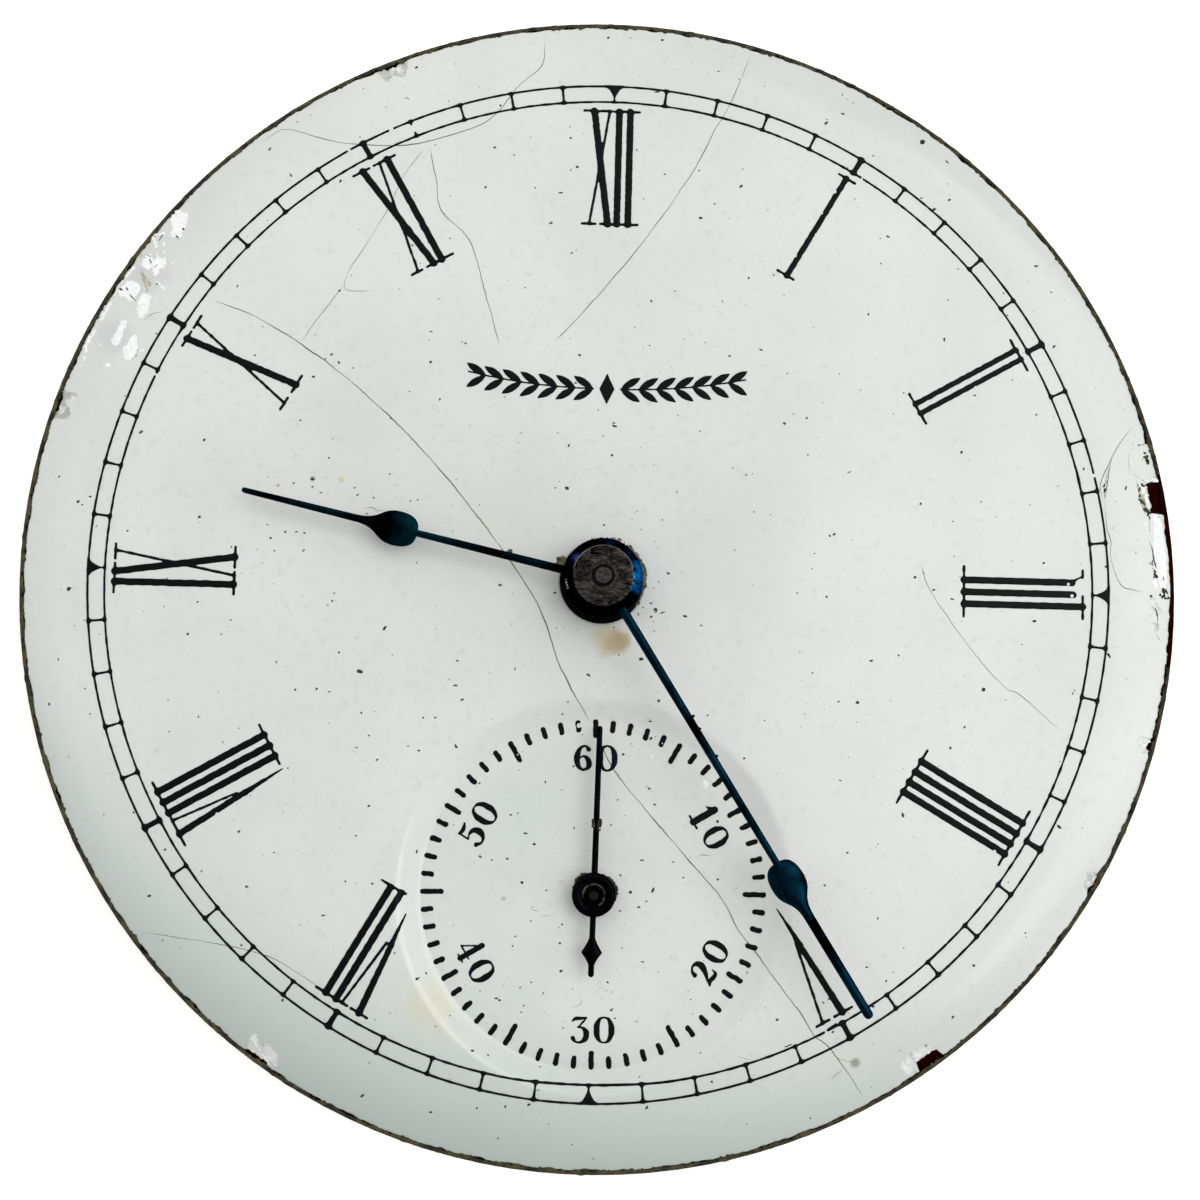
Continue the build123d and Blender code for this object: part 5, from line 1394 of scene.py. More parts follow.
olive_strokes = (
    (21.64, 4.53, 21.68, 4.33, 0.08, 0.1), (21.67, 4.12, 21.73, 3.91, 0.11, 0.13),
    (21.78, 3.86, 21.89, 3.76, 0.15, 0.11), (21.89, 3.55, 22.11, 3.46, 0.18, 0.15),
    (22.05, 3.35, 22.1, 3.22, 0.11, 0.08), (21.77, 4.59, 21.93, 4.52, 0.06, 0.08),
    (21.97, 5.9, 22.01, 5.87, 0.09, 0.06), (22.05, 5.77, 22.08, 5.51, 0.12, 0.11),
    (21.91, 5.92, 21.97, 5.86, 0.05, 0.07), (21.83, 5.6, 21.81, 5.49, 0.04, 0.03),
    (22.19, 1.44, 22.22, 1.28, 0.08, 0.05), (22.27, 1.18, 22.3, 1.03, 0.08, 0.1),
    (22.32, 0.98, 22.41, 0.8, 0.11, 0.07), (22.21, 0.79, 22.38, 0.88, 0.05),
    (22.72, 0.89, 22.7, 0.76, 0.04), (22.05, 1.38, 22.13, 1.42, 0.04),
    (22.63, 0.37, 22.8, 0.32, 0.07, 0.08), (22.54, 0.21, 22.63, 0.01, 0.07, 0.06),
    (22.86, 0.22, 22.91, 0.02, 0.07), (22.68, -0.04, 22.85, -0.01, 0.06),
    (22.71, 0.27, 22.74, 0.06, 0.15, 0.12), (22.18, 0.04, 22.19, 0.02, 0.09, 0.08),
    (22.2, 6.1, 22.23, 6.02, 0.05, 0.04), (21.37, 7.8, 21.42, 7.78, 0.06, 0.04),
)
scar_marks = (
    (-18.62, 12.59, -18.55, 12.42, 0.07, 0.06), (-18.45, 12.22, -18.3, 12.33, 0.05),
    (-19.51, 11.38, -19.45, 11.29, 0.09, 0.06), (-19.79, 11.35, -19.67, 11.29, 0.05),
    (-19.38, 11.12, -19.08, 10.84, 0.04), (-17.32, 13.86, -17.28, 13.84, 0.11, 0.09),
    (-17.55, 13.54, -17.5, 13.5, 0.09, 0.06), (-17.62, 13.62, -17.59, 13.59, 0.05),
    (-17.63, 14.4, -17.53, 14.35, 0.06, 0.04), (-19.16, 8.79, -19.09, 9.01, 0.03),
    (-18.61, 12.71, -18.78, 12.8, 0.04, 0.03), (-18.18, 13.63, -18.3, 13.39, 0.04),
)
beige_strokes = (
    (20.5, 5.53, 20.34, 5.0, 0.03, 0.09), (20.34, 5.0, 20.21, 4.32, 0.1, 0.17),
    (20.21, 4.32, 20.21, 3.85, 0.17, 0.05), (21.72, 4.85, 21.96, 4.7, 0.07, 0.1),
    (21.79, 4.38, 21.94, 3.61, 0.25),
    (-18.88, 11.97, -18.62, 11.51, 0.23, 0.32), (-18.62, 11.51, -18.63, 11.23, 0.21, 0.14),
    (-19.0, 12.71, -18.88, 12.6, 0.11), (-18.43, 13.91, -18.22, 14.09, 0.09),
    (-18.84, 8.79, -18.93, 8.46, 0.07, 0.11),
)
print(len(glinting_scar_strokes) + len(strip_strokes), "strokes of crushed glass")

# %% Thin crusts of broken glass and dirt
left_scars, right_chips = (-21.6, -17.0, 7.8, 14.9), (19.9, 23.1, -0.4, 8.0)


def lay_crust(strokes, box, thickness, ragged, seed):
    """A thin crust in the shape of some strokes, its edge torn by noise."""
    crust = Ink(thickness, 0.02)

    def torn_field(x, y):
        """The field of all the strokes together."""
        torn = wobble(x, y, 0.26, seed) + 0.7 * wobble(x, y, 0.1, seed + 1)
        return np.min(strokes_of(x, y, strokes), 0) + ragged * torn

    crust.add(torn_field, box, 0.026, on_face)
    return crust


for name, strokes, box, thickness, ragged, material in (
    ("crushed_glass_left", glinting_scar_strokes, left_scars, 0.008, 0.03, glass_dust_and_glints),
    ("crushed_glass_right", strip_strokes, right_chips, 0.008, 0.022, glass_dust_and_glints),
    ("stained_glass_left", beige_strokes, left_scars, 0.004, 0.05, beige_glass),
    ("stained_glass_right", beige_strokes, right_chips, 0.004, 0.025, beige_glass),
    ("olive_crumbs", olive_strokes, right_chips, 0.02, 0.03, rim_dirt),
    ("scar_crumbs", scar_marks, left_scars, 0.014, 0.01, rim_dirt),
):
    crust = lay_crust(strokes, box, thickness, ragged, 600 + len(name))
    add_piece(name, crust, material, "white_enamel")
add_piece("black_cracks", hairs, rim_dirt, "white_enamel")

# %% [markdown]
# ## Hands
# A hand is sawn from thin steel, filed to a crown, polished and heated until a film of oxide turns it
# blue. It could be a flat cut-out, but the crown is what catches the light: one side of the pear shines
# while the other goes black. So each hand is lofted: a crowned section at every station along its length,
# as wide there as the outline of the frame's own hand.

# %% Blued steel


def make_blued_steel(name, dark_colour, bright_colour, worn_colour):
    """Polished steel under a blue oxide: a dark mirror, bluer where the film is whole."""
    material, add, shader, place = new_material(name, Metallic=1, Specular_Tint="#1d3440")
    film = add("TexNoise", Vector=place, Scale=one_per_mm / 1.8, Detail=3)
    film_share = add("MapRange", Value=film, From_Min=0.38, From_Max=0.62)
    wear = add("TexNoise", Vector=place, Scale=one_per_mm / 0.25, Detail=6)
    wear_share = add("MapRange", Value=wear, From_Min=0.6, From_Max=0.74)
    colour = add("Mix", in_colour, Factor=film_share, A=dark_colour, B=bright_colour)
    colour = add("Mix", in_colour, Factor=wear_share, A=colour, B=worn_colour)
    gloss = add("MapRange", Value=wear, From_Min=0.3, From_Max=0.75, To_Min=0.14, To_Max=0.45)
    scratches = add("Bump", Strength=0.35, Distance=0.006 * mm, Height=wear)
    feed(shader, Base_Color=colour, Roughness=gloss, Normal=scratches)
    print(name, len(material.node_tree.nodes), "nodes")
    return material


hour_steel = make_blued_steel("blued_hour_steel", "#010203", "#052630", "#050302")
hand_steel = make_blued_steel("blued_hand_steel", "#010203", "#052535", "#060303")

# %% Outlines and sections


def bezier(start, first, second, end, count):
    """Points along a cubic curve, without its start."""
    points = []
    for t in np.arange(1, count + 1) / count:
        s = 1 - t
        points.append(tuple(
            s**3 * a + 3 * s**2 * t * b + 3 * s * t**2 * c + t**3 * d
            for a, b, c, d in zip(start, first, second, end)
        ))
    return points


# Shares that shape a pear: how flat its heel is, how full its cheeks, how long its neck
pear_heel, pear_cheek, pear_neck = 0.62, 0.5, 0.62
# How much wider the stem grows towards the boss
stem_flare = 0.35
curve_count = 22


def pear_outline(start, stem, bulb_round, bulb_taper, point, bulb_half, stem_half, neck_half, tip_half):
    """Stations (distance along, half width) of a hand with a pear and a long point."""
    widest, neck = stem + bulb_round, stem + bulb_round + bulb_taper
    outline = [
        (stem_half * (1 + stem_flare * (1 - along / stem)), along) for along in np.linspace(start, stem, 40)
    ]
    outline += bezier(
        (stem_half, stem), (stem_half + pear_heel * bulb_half, stem),
        (bulb_half, widest - pear_cheek * bulb_round), (bulb_half, widest), curve_count,
    )
    outline += bezier(
        (bulb_half, widest), (bulb_half, widest + pear_cheek * bulb_taper),
        (neck_half, neck - pear_neck * bulb_taper), (neck_half, neck), curve_count,
    )
    for share in np.linspace(0, 1, 30)[1:]:
        outline.append((neck_half + (tip_half - neck_half) * share, neck + (point - tip_half) * share))
    tip = neck + point - tip_half
    outline += [(tip_half * cos(a)**0.6, tip + tip_half * sin(a)) for a in np.linspace(0, pi / 2, 9)[1:-1]]
    return [(along, half) for half, along in outline]


# A high power keeps the hand flat to near its edges
section_count, crown_power = 8, 3.0


def loft_hand(shell, outline, bearing, centre, low, high, crown_share):
    """Lofts a crowned section along an outline that points at a bearing."""
    sections = []
    for along, half in outline:
        crown = min(crown_share * half, 0.6 * (high - low))
        section = [(-0.85, low), (-1, low + 0.25 * (high - low)), (-1, high - crown)]
        for step in range(1, 2 * section_count):
            share = step / section_count - 1
            section.append((share, high - crown * abs(share)**crown_power))
        section += [(1, high - crown), (1, low + 0.25 * (high - low)), (0.85, low)]
        sections.append([
            (*swing(share * half, along, radians(bearing), centre), height) for share, height in section
        ])
    shell.tube(sections)


print("a section has", 2 * section_count + 5, "points")

# %% [markdown]
# The hour hand's socket is a plain turned boss pressed on the hour wheel's pipe. The minute hand's is
# taller: its flank slopes in to a flat top that was ground bright and has since gone dull and scratched.

# %% Hour hand
hour_low, hour_high = 4.35, 4.6
hour_bearing = 282.45
hour_boss_low, hour_boss_high, hour_boss_radius = 3.75, 4.65, 1.52
turn_count = 160
hour_hand = Shell()
hour_outline = pear_outline(1.0, 7.52, 0.8, 1.72, 4.55, 0.69, 0.13, 0.14, 0.105)
loft_hand(hour_hand, hour_outline, hour_bearing, (0, 0), hour_low, hour_high, 0.4)
hour_bore = 1.1
hour_socket = Shell()
hour_socket.turned((
    (hour_bore, hour_boss_low), (hour_boss_radius - 0.12, hour_boss_low),
    (hour_boss_radius - 0.03, hour_boss_low + 0.04), (hour_boss_radius, hour_boss_low + 0.12),
    (hour_boss_radius, hour_boss_high - 0.12), (hour_boss_radius - 0.03, hour_boss_high - 0.04),
    (hour_boss_radius - 0.12, hour_boss_high), (hour_bore, hour_boss_high),
), turn_count, closed=True)
add_piece("blued_hour_hand", hour_hand, hour_steel, "blued_steel", "hour_hand", body="hour")

# %% Minute hand
minute_low, minute_high = 5.35, 5.6
minute_bearing = 147.35
minute_boss_low, minute_boss_high = 4.95, 6.1
minute_boss_radius, minute_top_radius = 1.56, 1.19
minute_hand = Shell()
minute_outline = pear_outline(1.1, 12.82, 0.83, 1.6, 4.36, 0.68, 0.135, 0.19, 0.18)
loft_hand(minute_hand, minute_outline, minute_bearing, (0, 0), minute_low, minute_high, 0.5)
add_piece("blued_minute_hand", minute_hand, hand_steel, "blued_steel", "minute_hand", body="minute")

# %% The minute boss, with painted light: black at the left and bright blue at the right
# The film that is left, with painted light among it: bright blue at the right where the flank catches the
# light, and white streaks at the left for a painted reflection. Its colour, its middle, how far it is whole
# and where it ends, its strength
boss_films_and_highlights = (
    ("#1a5888", (1.12, 0.92, 0), (0.12, 0.42), 1.0), ("#1a5888", (0.25, 1.4, 0), (0.1, 0.36), 0.9),
    ("#04a8f8", (1.38, 0.45, 0), (0.12, 0.34), 1.0), ("#04a8f8", (1.46, 0.05, 0), (0.16, 0.38), 1.0),
    ("#0486d0", (1.38, -0.38, 0), (0.12, 0.36), 1.0), ("#7070b0", (-1.1, 0.72, 0), (0.05, 0.28), 0.9),
    ("#e8eced", (-1.44, -0.14, 0), (0.01, 0.05), 1.0), ("#e8eced", (-1.42, -0.25, 0), (0.01, 0.05), 1.0),
    ("#e8eced", (-1.39, -0.36, 0), (0.01, 0.05), 1.0), ("#e8eced", (-1.35, -0.46, 0), (0.01, 0.05), 1.0),
)
boss_film_and_highlight_ragged = 0.5


def make_boss_steel_with_highlights(name):
    """Steel whose blue film is left only in patches, worn through in fine specks, with painted highlights
    among the patches.
    """
    material, add, shader, place = new_material(name, Metallic=1, Specular_Tint="#0a1014")
    place_east, place_north, _ = add("SeparateXYZ", _0=place).outputs
    plan = add("CombineXYZ", _0=place_east, _1=place_north)
    torn = add("TexNoise", Vector=place, Scale=one_per_mm / 0.18, Detail=6)
    speckle = add("TexNoise", Vector=place, Scale=one_per_mm / 0.07, Detail=3)
    kept = add("MapRange", Value=speckle, From_Min=0.46, From_Max=0.58, To_Min=1, To_Max=0.12)
    # Black where no film is left; at the left side this black is also painted shade
    colour = "#030303"
    for film_and_highlight_colour, middle, (whole, end), strength in boss_films_and_highlights:
        ragged = min(boss_film_and_highlight_ragged, 2 * end)
        share = patch_share(add, plan, torn, ragged, middle, whole, end, strength, 0)
        share = add("Math", multiply, _0=share, _1=kept)
        colour = add("Mix", in_colour, Factor=share, A=colour, B=film_and_highlight_colour)
    bump = add("Bump", Strength=0.5, Distance=0.012 * mm, Height=torn)
    gloss = add("MapRange", Value=torn, From_Min=0.3, From_Max=0.7, To_Min=0.16, To_Max=0.42)
    feed(shader, Base_Color=colour, Roughness=gloss, Normal=bump)
    print(name, len(material.node_tree.nodes), "nodes")
    return material


boss_steel_with_highlights = make_boss_steel_with_highlights("blued_boss_steel_with_painted_light")
minute_boss = Shell()
boss_bore = 0.59
minute_boss.turned((
    (boss_bore, minute_boss_low), (minute_boss_radius - 0.1, minute_boss_low),
    (minute_boss_radius - 0.02, minute_boss_low + 0.03), (minute_boss_radius, minute_boss_low + 0.1),
    (minute_boss_radius, minute_boss_low + 0.28), (minute_boss_radius - 0.02, minute_boss_low + 0.36),
    (minute_top_radius + 0.1, minute_boss_high - 0.2), (minute_top_radius + 0.03, minute_boss_high - 0.08),
    (minute_top_radius, minute_boss_high - 0.04), (minute_top_radius - 0.02, minute_boss_high - 0.03),
    (boss_bore, minute_boss_high - 0.03),
), turn_count, closed=True)
add_piece("blued_minute_boss", minute_boss, boss_steel_with_highlights, "blued_steel", body="minute")
add_piece("blued_hour_socket", hour_socket, boss_steel_with_highlights, "blued_steel", body="hour")

# %% [markdown]
# The top of the boss lost its blue long ago. It is bare steel gone grey-brown, scored by the tools that
# pressed the hand on, with rust and dried oil in the scores. Its disc is a piece of its own, very thin,
# with a fine bright edge where it catches the light.

# %% Worn steel
def make_worn_steel(name):
    """Bare steel gone dull: two tones along the strokes of a file, rust, and black scores."""
    material, add, shader, place = new_material(name, Metallic=1)
    # Strokes of the file run from the lower left to the upper right, and the black scores lie among them
    turned = add("Mapping", Vector=place, Rotation=(0, 0, radians(-28)), Scale=(0.34, 1, 1))
    strokes = add("TexNoise", Vector=turned, Scale=one_per_mm / 0.16, Detail=5)
    to_edge = {"feature": "DISTANCE_TO_EDGE"}
    scores = add("TexVoronoi", to_edge, Vector=turned, Scale=one_per_mm / 0.11)
    rust = add("TexNoise", Vector=place, Scale=one_per_mm / 0.42, Detail=6)
    steel_share = add("MapRange", Value=strokes, From_Min=0.36, From_Max=0.64)
    rust_share = add("MapRange", Value=rust, From_Min=0.48, From_Max=0.58, To_Max=0.65)
    score_share = add("MapRange", Value=scores, From_Min=0.04, From_Max=0.1, To_Min=1, To_Max=0)
    score_kept = add("MapRange", Value=rust, From_Min=0.4, From_Max=0.5)
    scored = add("Math", multiply, _0=score_share, _1=score_kept)
    colour = add("Mix", in_colour, Factor=steel_share, A="#262423", B="#524e4a")
    colour = add("Mix", in_colour, Factor=rust_share, A=colour, B="#241e19")
    colour = add("Mix", in_colour, Factor=scored, A=colour, B="#080605")
    height = add("Math", {"operation": "SUBTRACT"}, _0=strokes, _1=scored)
    bump = add("Bump", Strength=0.6, Distance=0.015 * mm, Height=height)
    gloss = add("MapRange", Value=rust, From_Min=0.35, From_Max=0.65, To_Min=0.35, To_Max=0.75)
    feed(shader, Base_Color=colour, Roughness=gloss, Normal=bump)
    print(name, len(material.node_tree.nodes), "nodes")
    return material


worn_steel = make_worn_steel("worn_grey_steel")

# %% The boss's top disc
boss_cap = Shell()
cap_low, cap_bore, cap_radius = minute_boss_high - 0.035, 0.595, minute_top_radius - 0.03
cap_rings = [boss_cap.circle(radius, cap_low, turn_count) for radius in (cap_bore, cap_radius)]
for radius in np.linspace(cap_radius, cap_bore, 26):
    ring = []
    for turn in np.arange(turn_count) * 2 * pi / turn_count:
        x, y = radius * cos(turn), radius * sin(turn)
        score = np.clip(0.25 + wobble(x * 0.35 + y * 0.1, y, 0.3, 71), 0, 1)
        rim = min(1.0, (cap_radius - radius) / 0.03)
        pit = 0.012 * score * min(1.0, (cap_radius - radius) / 0.1)
        ring.append((x, y, minute_boss_high - 0.011 * (1 - rim) - pit))
    cap_rings.append(boss_cap.ring(ring))
boss_cap.chain(cap_rings, closed=True)
add_piece("worn_boss_top", boss_cap, worn_steel, "steel", body="minute")

# %% [markdown]
# The seconds hand is the plainest of the three: a round flat hub, a thin straight blade, and a tail that
# ends in a hollow-sided lozenge with a stub. Its steel is black with age, and a ring of dried oil sits
# where the pipe comes through the hub.

# %% Seconds hand
seconds_low, seconds_high = 3.61, 3.79
hub_low, hub_high, hub_radius = 3.55, 3.85, 0.86
seconds_bearing = 0.6
seconds_steel = make_blued_steel("aged_seconds_steel", "#050505", "#0a0d12", "#17130c")
seconds_hand = Shell()
blade_start, blade_shoulder, blade_half, point_half = 0.7, 6.5, 0.125, 0.11
blade = [
    (blade_start + (blade_shoulder - blade_start) * share, blade_half + (point_half - blade_half) * share)
    for share in np.linspace(0, 1, 40)
]
blade += [
    (blade_shoulder + point_half * sin(a), point_half * cos(a)) for a in np.linspace(0, pi / 2, 7)[1:-1]
]
loft_hand(seconds_hand, blade, seconds_bearing, seconds_middle, seconds_low, seconds_high, 0.5)
lozenge_half, lozenge_rise, lozenge_fall, stub_length = 0.415, 0.6, 0.5, 0.44
tail_half, tail_stem = 0.115, 1.63
lozenge_hollow = 1.35
lozenge_top = tail_stem + lozenge_rise
stub_start = lozenge_top + lozenge_fall
stub_end = stub_start + stub_length - tail_half
tail = [(along, tail_half) for along in np.linspace(blade_start, tail_stem, 12)]
for share in (*np.linspace(0, 1, 16)[1:], *-np.linspace(1, 0, 16)[1:]):
    side = lozenge_rise if share > 0 else lozenge_fall
    half = tail_half + (lozenge_half - tail_half) * abs(share)**lozenge_hollow
    tail.append((lozenge_top + side * (share - 1 if share > 0 else 1 + share), half))
tail += [(along, tail_half) for along in np.linspace(stub_start, stub_end, 5)[1:]]
tail += [(stub_end + tail_half * sin(a), tail_half * cos(a)) for a in np.linspace(0, pi / 2, 6)[1:-1]]
loft_hand(seconds_hand, tail, seconds_bearing + 180, seconds_middle, seconds_low, seconds_high, 0.4)
pipe_radius = 0.33
seconds_hand.turned((
    (pipe_radius, hub_low), (hub_radius - 0.05, hub_low), (hub_radius - 0.01, hub_low + 0.03),
    (hub_radius, hub_low + 0.08), (hub_radius, hub_high - 0.1), (hub_radius - 0.02, hub_high - 0.04),
    (hub_radius - 0.08, hub_high), (0.62, hub_high), (0.55, hub_high - 0.02), (0.45, hub_high - 0.02),
    (pipe_radius, hub_high),
), turn_count, seconds_middle, closed=True)
add_piece("blued_seconds_hand", seconds_hand, seconds_steel, "blued_steel", "seconds_hand", body="seconds")

# %% Dried oil on the seconds hub and the brown blob on its blade
seconds_crust = Ink(0.03, 0.05)


def seconds_crust_field(x, y):
    """A broken ring of dried oil round the pipe, and crumbs on the blade."""
    gap = np.clip(1.2 - np.abs(np.degrees(np.arctan2(x, y)) % 360 - 215) / 60, 0, 1)
    return np.abs(np.hypot(x, y) - 0.43) - 0.035 + 0.08 * gap + 0.02 * wobble(x, y, 0.25, 81)


def on_hub(x, y):
    """A point on the hub's top."""
    return x + seconds_middle[0], y + seconds_middle[1], np.full(np.shape(x), hub_high)


seconds_crust.add(seconds_crust_field, (-0.7, 0.7, -0.7, 0.7), 0.02, on_hub)


def blade_blob_field(x, y):
    """A blob of dried oil half over the blade."""
    return np.hypot(x * 1.2, y) - 0.22 + 0.07 * wobble(x, y, 0.2, 82)


def on_blade(x, y):
    """A point on the blade, two fifths of the way up."""
    return x + 0.05, y + seconds_middle[1] + 2.75, np.full(np.shape(x), seconds_high - 0.03)


seconds_crust.add(blade_blob_field, (-0.3, 0.3, -0.3, 0.3), 0.02, on_blade)
add_piece("seconds_hand_crust", seconds_crust, rim_dirt, "blued_steel", body="seconds")

# %% [markdown]
# ## Behind the dial
# Everything behind the dial keeps the shape of the frame and gets its finish here: gilt brass with a
# frosted grain for the plate, plain brass for the wheels, steel with turning rings for the pinions and
# screws, copper gone brown at its edge, and the rough grey counter enamel that keeps the dial flat.

# %% Finishes of the frame's own nodes
def make_metal(name, dark_colour, bright_colour, grain_size, rough_from, rough_to, relief):
    """A worked metal: two tones and a roughness that follow one grain."""
    material, add, shader, place = new_material(name, Metallic=1)
    fine = add("TexNoise", Vector=place, Scale=one_per_mm / grain_size, Detail=5)
    broad = add("TexNoise", Vector=place, Scale=one_per_mm / (12 * grain_size), Detail=3)
    blend = add("Math", multiply, _0=fine, _1=broad)
    share = add("MapRange", Value=blend, From_Min=0.15, From_Max=0.36)
    colour = add("Mix", in_colour, Factor=share, A=dark_colour, B=bright_colour)
    roughness = add("MapRange", Value=broad, From_Min=0.3, From_Max=0.7, To_Min=rough_from, To_Max=rough_to)
    bump = add("Bump", Strength=0.4, Distance=relief * mm, Height=fine)
    feed(shader, Base_Color=colour, Roughness=roughness, Normal=bump)
    print(name, "grained at", grain_size, "mm")
    return material


# Gilding over a frosted plate: an even matt yellow
gilt_brass = make_metal("frosted_gilt_brass", "#b8924a", "#d0aa58", 0.09, 0.34, 0.42, 0.012)
wheel_brass = make_metal("polished_wheel_brass", "#a8853f", "#dcb967", 0.2, 0.18, 0.32, 0.004)
bush_bronze = make_metal("turned_bronze", "#7c5a35", "#b4874f", 0.15, 0.22, 0.36, 0.004)
pinion_steel = make_metal("turned_pinion_steel", "#76797c", "#b9bcbf", 0.12, 0.2, 0.36, 0.004)
# The bare copper is under a dark red oxide that hardly shines
rim_copper = make_metal("tarnished_copper", "#160201", "#2a0703", 0.35, 0.45, 0.7, 0.01)
solder_metal = make_metal("dull_soft_solder", "#6d6f70", "#989b9c", 0.3, 0.4, 0.6, 0.02)
# The arbor's end is cleaner than the cannon pinion's, which is brown with grease
post_steel = make_metal("worn_arbor_steel", "#262425", "#4a4748", 0.14, 0.3, 0.5, 0.006)
greasy_steel = make_metal("greasy_cannon_steel", "#241d17", "#574c42", 0.12, 0.4, 0.65, 0.01)
# Painted highlight: a brighter steel for the line where the boss's top edge catches the light
highlight_edge_steel = make_metal("painted_highlight_edge_steel", "#4c4a47", "#87847f", 0.2, 0.25, 0.4, 0.004)

# %% Small things on the hub
highlight_edge_ring = Shell()
highlight_middle, highlight_half, highlight_fade, edge_hidden_drop = 357, 66, 14, 0.05
# Its corners, out from the top's radius and up from its height
edge_corners = (
    (-0.035, -0.03), (-0.03, -0.001), (-0.018, 0.002), (-0.002, -0.012), (0.004, -0.035),
)
edge_rings = []
for out, up in edge_corners:
    ring = []
    for bearing in np.arange(turn_count) * 360 / turn_count:
        # Painted highlight: the bright edge shows only on the far side, where it catches the light; elsewhere
        # it sinks below the disc
        from_middle = abs((bearing - highlight_middle + 180) % 360 - 180)
        kept = min(1.0, max(0.0, (highlight_half + highlight_fade - from_middle) / highlight_fade))
        height = minute_boss_high + up - edge_hidden_drop * (1 - kept)
        ring.append((*at_bearing(bearing, minute_top_radius + out), height))
    edge_rings.append(highlight_edge_ring.ring(ring))
highlight_edge_ring.chain(edge_rings, closed=True)
add_piece("painted_highlight_boss_edge", highlight_edge_ring, highlight_edge_steel, "steel", body="minute")
hub_dirt_and_shade_spots = Ink(0.006, 0.02)
cannon_end, arbor_end = top_of("cannon_pinion"), top_of("centre_arbor")
arbor_radius = 0.34


def groove_shade_field(x, y):
    """Painted shade: a black ring in the groove between the arbor and the cannon pinion's end."""
    return np.abs(np.hypot(x, y) - arbor_radius - 0.03) - 0.05 + 0.012 * wobble(x, y, 0.2, 91)


def scratch_field(x, y):
    """A curved scratch and a pit full of dirt on the arbor's end."""
    scratch = np.maximum(np.abs(np.hypot(x - 0.34, y + 0.28) - 0.4) - 0.013, np.hypot(x - 0.02, y) - 0.24)
    return np.minimum(scratch, np.hypot(x + 0.12, y - 0.12) - 0.045 + 0.02 * wobble(x, y, 0.1, 92))


def level_place(height):
    """Puts a point at one level."""
    return lambda x, y: (x, y, np.full(np.shape(x), height))


hub_dirt_and_shade_spots.add(groove_shade_field, (-0.6, 0.6, -0.6, 0.6), 0.015, level_place(max(cannon_end, arbor_end)))
hub_dirt_and_shade_spots.add(scratch_field, (-0.34, 0.34, -0.34, 0.34), 0.01, level_place(arbor_end))
blade_bumps = ((3.62, -5.26), (3.84, -5.74), (4.53, -6.76))
for number, (bump_x, bump_y) in enumerate(blade_bumps):

    def bump_field(x, y):
        """A crumb of dirt on the minute hand's stem."""
        return np.hypot(x - bump_x, y - bump_y) - 0.07 + 0.03 * wobble(x, y, 0.15, 93 + number)

    box = (bump_x - 0.15, bump_x + 0.15, bump_y - 0.15, bump_y + 0.15)
    hub_dirt_and_shade_spots.add(bump_field, box, 0.02, level_place(minute_high - 0.015))
add_piece("hub_dirt_and_painted_shade_spots", hub_dirt_and_shade_spots, black_grease_and_shade, "steel", body="minute")

# %% Counter enamel and ruby
# Counter enamel is made of leftovers: grey, speckled and not ground smooth
counter_enamel = make_mottled(
    "grey_counter_enamel", ("#c4c6bf", "#7f837e"), 0.3, spread=(0.4, 0.66), relief=(0.5, 0.02),
    Roughness=0.35, IOR=1.5,
)
# Ruby is clear, so its colour deepens with no grain at all
ruby = make_mottled(
    "pierced_ruby", ("#8e0f2c", "#c42a4b"), 0.4, detail=2, spread=(0, 1), relief=(0, 0),
    Roughness=0.06, IOR=1.77, Transmission_Weight=0.6,
)

# %% Each node gets its finish
finishes = {
    "pillar_plate": gilt_brass, "dial_foot_screws": pinion_steel, "centre_bush": bush_bronze,
    "seconds_jewel": ruby, "minute_stud": pinion_steel, "dial_copper": rim_copper,
    "counter_enamel": counter_enamel, "seconds_copper": rim_copper,
    "seconds_counter_enamel": counter_enamel, "solder_ring": solder_metal,
    "dial_washer": wheel_brass, "hour_wheel": wheel_brass, "minute_wheel": wheel_brass,
    "minute_pinion": pinion_steel, "cannon_pinion": greasy_steel, "centre_arbor": post_steel,
    "seconds_arbor": greasy_steel, "seconds_pipe": seconds_steel,
    "dial_foot_1": rim_copper, "dial_foot_2": rim_copper, "dial_foot_3": rim_copper,
}
plain_nodes = []
for node in nodes:
    piece = bpy.data.objects.get(node)
    if piece is None or piece.hide_render:
        continue
    if node not in finishes:
        plain_nodes.append(node)
        continue
    for place in piece.material_slots:
        place.material = finishes[node]
print("nodes still plain:", plain_nodes)

# %% [markdown]
# ## Floor and light
# The dial lies on a white table under a pale sky that is made of a few soft rectangles. A broad bright band
# lies to the north and two brighter ones to the east, so the shadows fall to the lower left and the glass is
# brightest at the right. The south is dim, and a dark rectangle stands straight above, where the camera is
# held: the flat hands mirror it and go black, while their crowned edges catch the bright side.

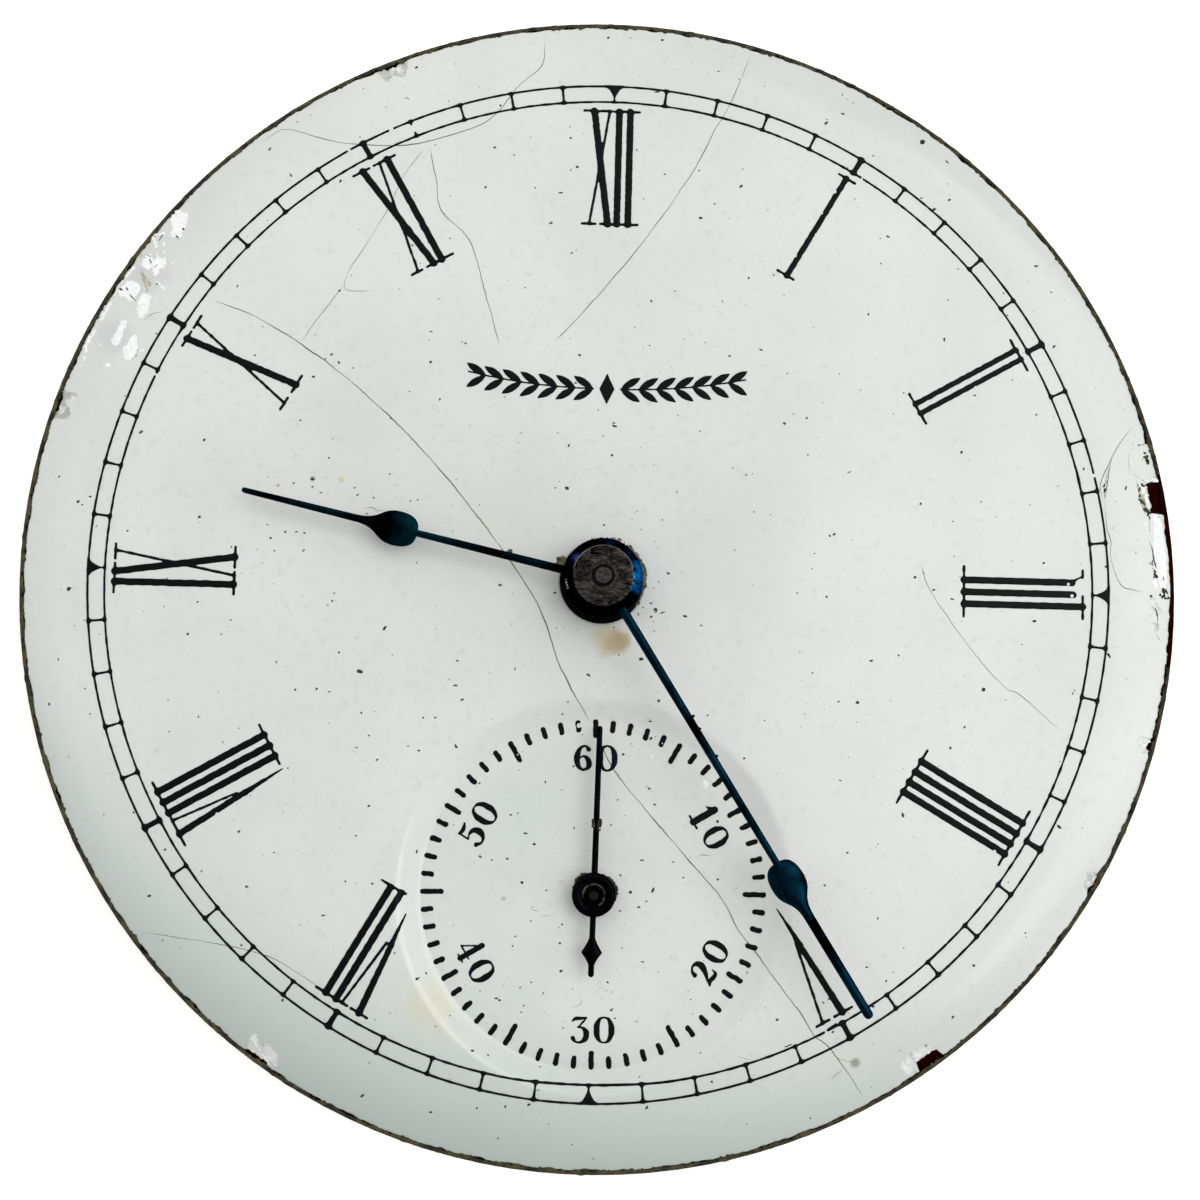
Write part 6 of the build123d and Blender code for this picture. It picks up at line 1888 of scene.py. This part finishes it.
# %% Floor
floor_half = 600 * mm
floor_mesh = bpy.data.meshes.new("table_top")
floor_corners = ((-1, -1), (1, -1), (1, 1), (-1, 1))
floor_mesh.from_pydata([(x * floor_half, y * floor_half, 0) for x, y in floor_corners], [], [(0, 1, 2, 3)])
floor = bpy.data.objects.new("table_top", floor_mesh)
bpy.context.scene.collection.objects.link(floor)
table_white = new_material(
    "white_card", Base_Color=(0.95, 0.95, 0.95, 1), Roughness=0.9,
    Emission_Color=(1, 1, 1, 1), Emission_Strength=0.45,
)[0]
floor_mesh.materials.append(table_white)
print("table", round(2 * floor_half, 2), "m wide")

# %% The sky
world = bpy.data.worlds.new("pale_sky")
bpy.context.scene.world = world
world.use_nodes = True
add_sky = partial(add_node, world.node_tree)
sky_place = add_sky("TexCoord").outputs["Generated"]
sky_east, sky_north, sky_up = add_sky("SeparateXYZ", _0=sky_place).outputs
sky_up = add_sky("Math", {"operation": "MAXIMUM"}, _0=sky_up, _1=0.02)
tangents = [
    add_sky("Math", {"operation": "DIVIDE"}, _0=side, _1=sky_up) for side in (sky_east, sky_north)
]
# A patch of the sky: middle and half size in tangents east and north of straight up, soft edge, brightness
sky_patches = (
    ((-0.1, 0.255), (1.6, 0.405), 0.08, 1.05),
    ((-0.3, -0.92), (1.2, 0.77), 0.08, 0.32),
    ((-0.14, -0.02), (0.29, 0.26), 0.04, 0.22),
    ((0.5, 0.3), (0.35, 0.42), 0.03, 2.05),
    ((0.8, 0.2), (0.42, 0.52), 0.05, 2.85),
)
sky_strength = 0.96
for patch_middle, patch_halves, soft, brightness in sky_patches:
    shares = []
    for tangent, middle, half in zip(tangents, patch_middle, patch_halves):
        shifted = add_sky("Math", {"operation": "SUBTRACT"}, _0=tangent, _1=middle)
        away = add_sky("Math", {"operation": "ABSOLUTE"}, _0=shifted)
        shares.append(add_sky(
            "MapRange", smoothly,
            Value=away, From_Min=half - soft, From_Max=half + soft, To_Min=1, To_Max=0,
        ))
    inside = add_sky("Math", multiply, _0=shares[0], _1=shares[1])
    sky_strength = add_sky("Mix", {"data_type": "FLOAT"}, Factor=inside, A=sky_strength, B=brightness)
feed(world.node_tree.nodes["Background"], Color=(0.995, 1, 0.99, 1), Strength=sky_strength)
bpy.context.scene.view_settings.view_transform = "Standard"
print("sky patches", len(sky_patches))
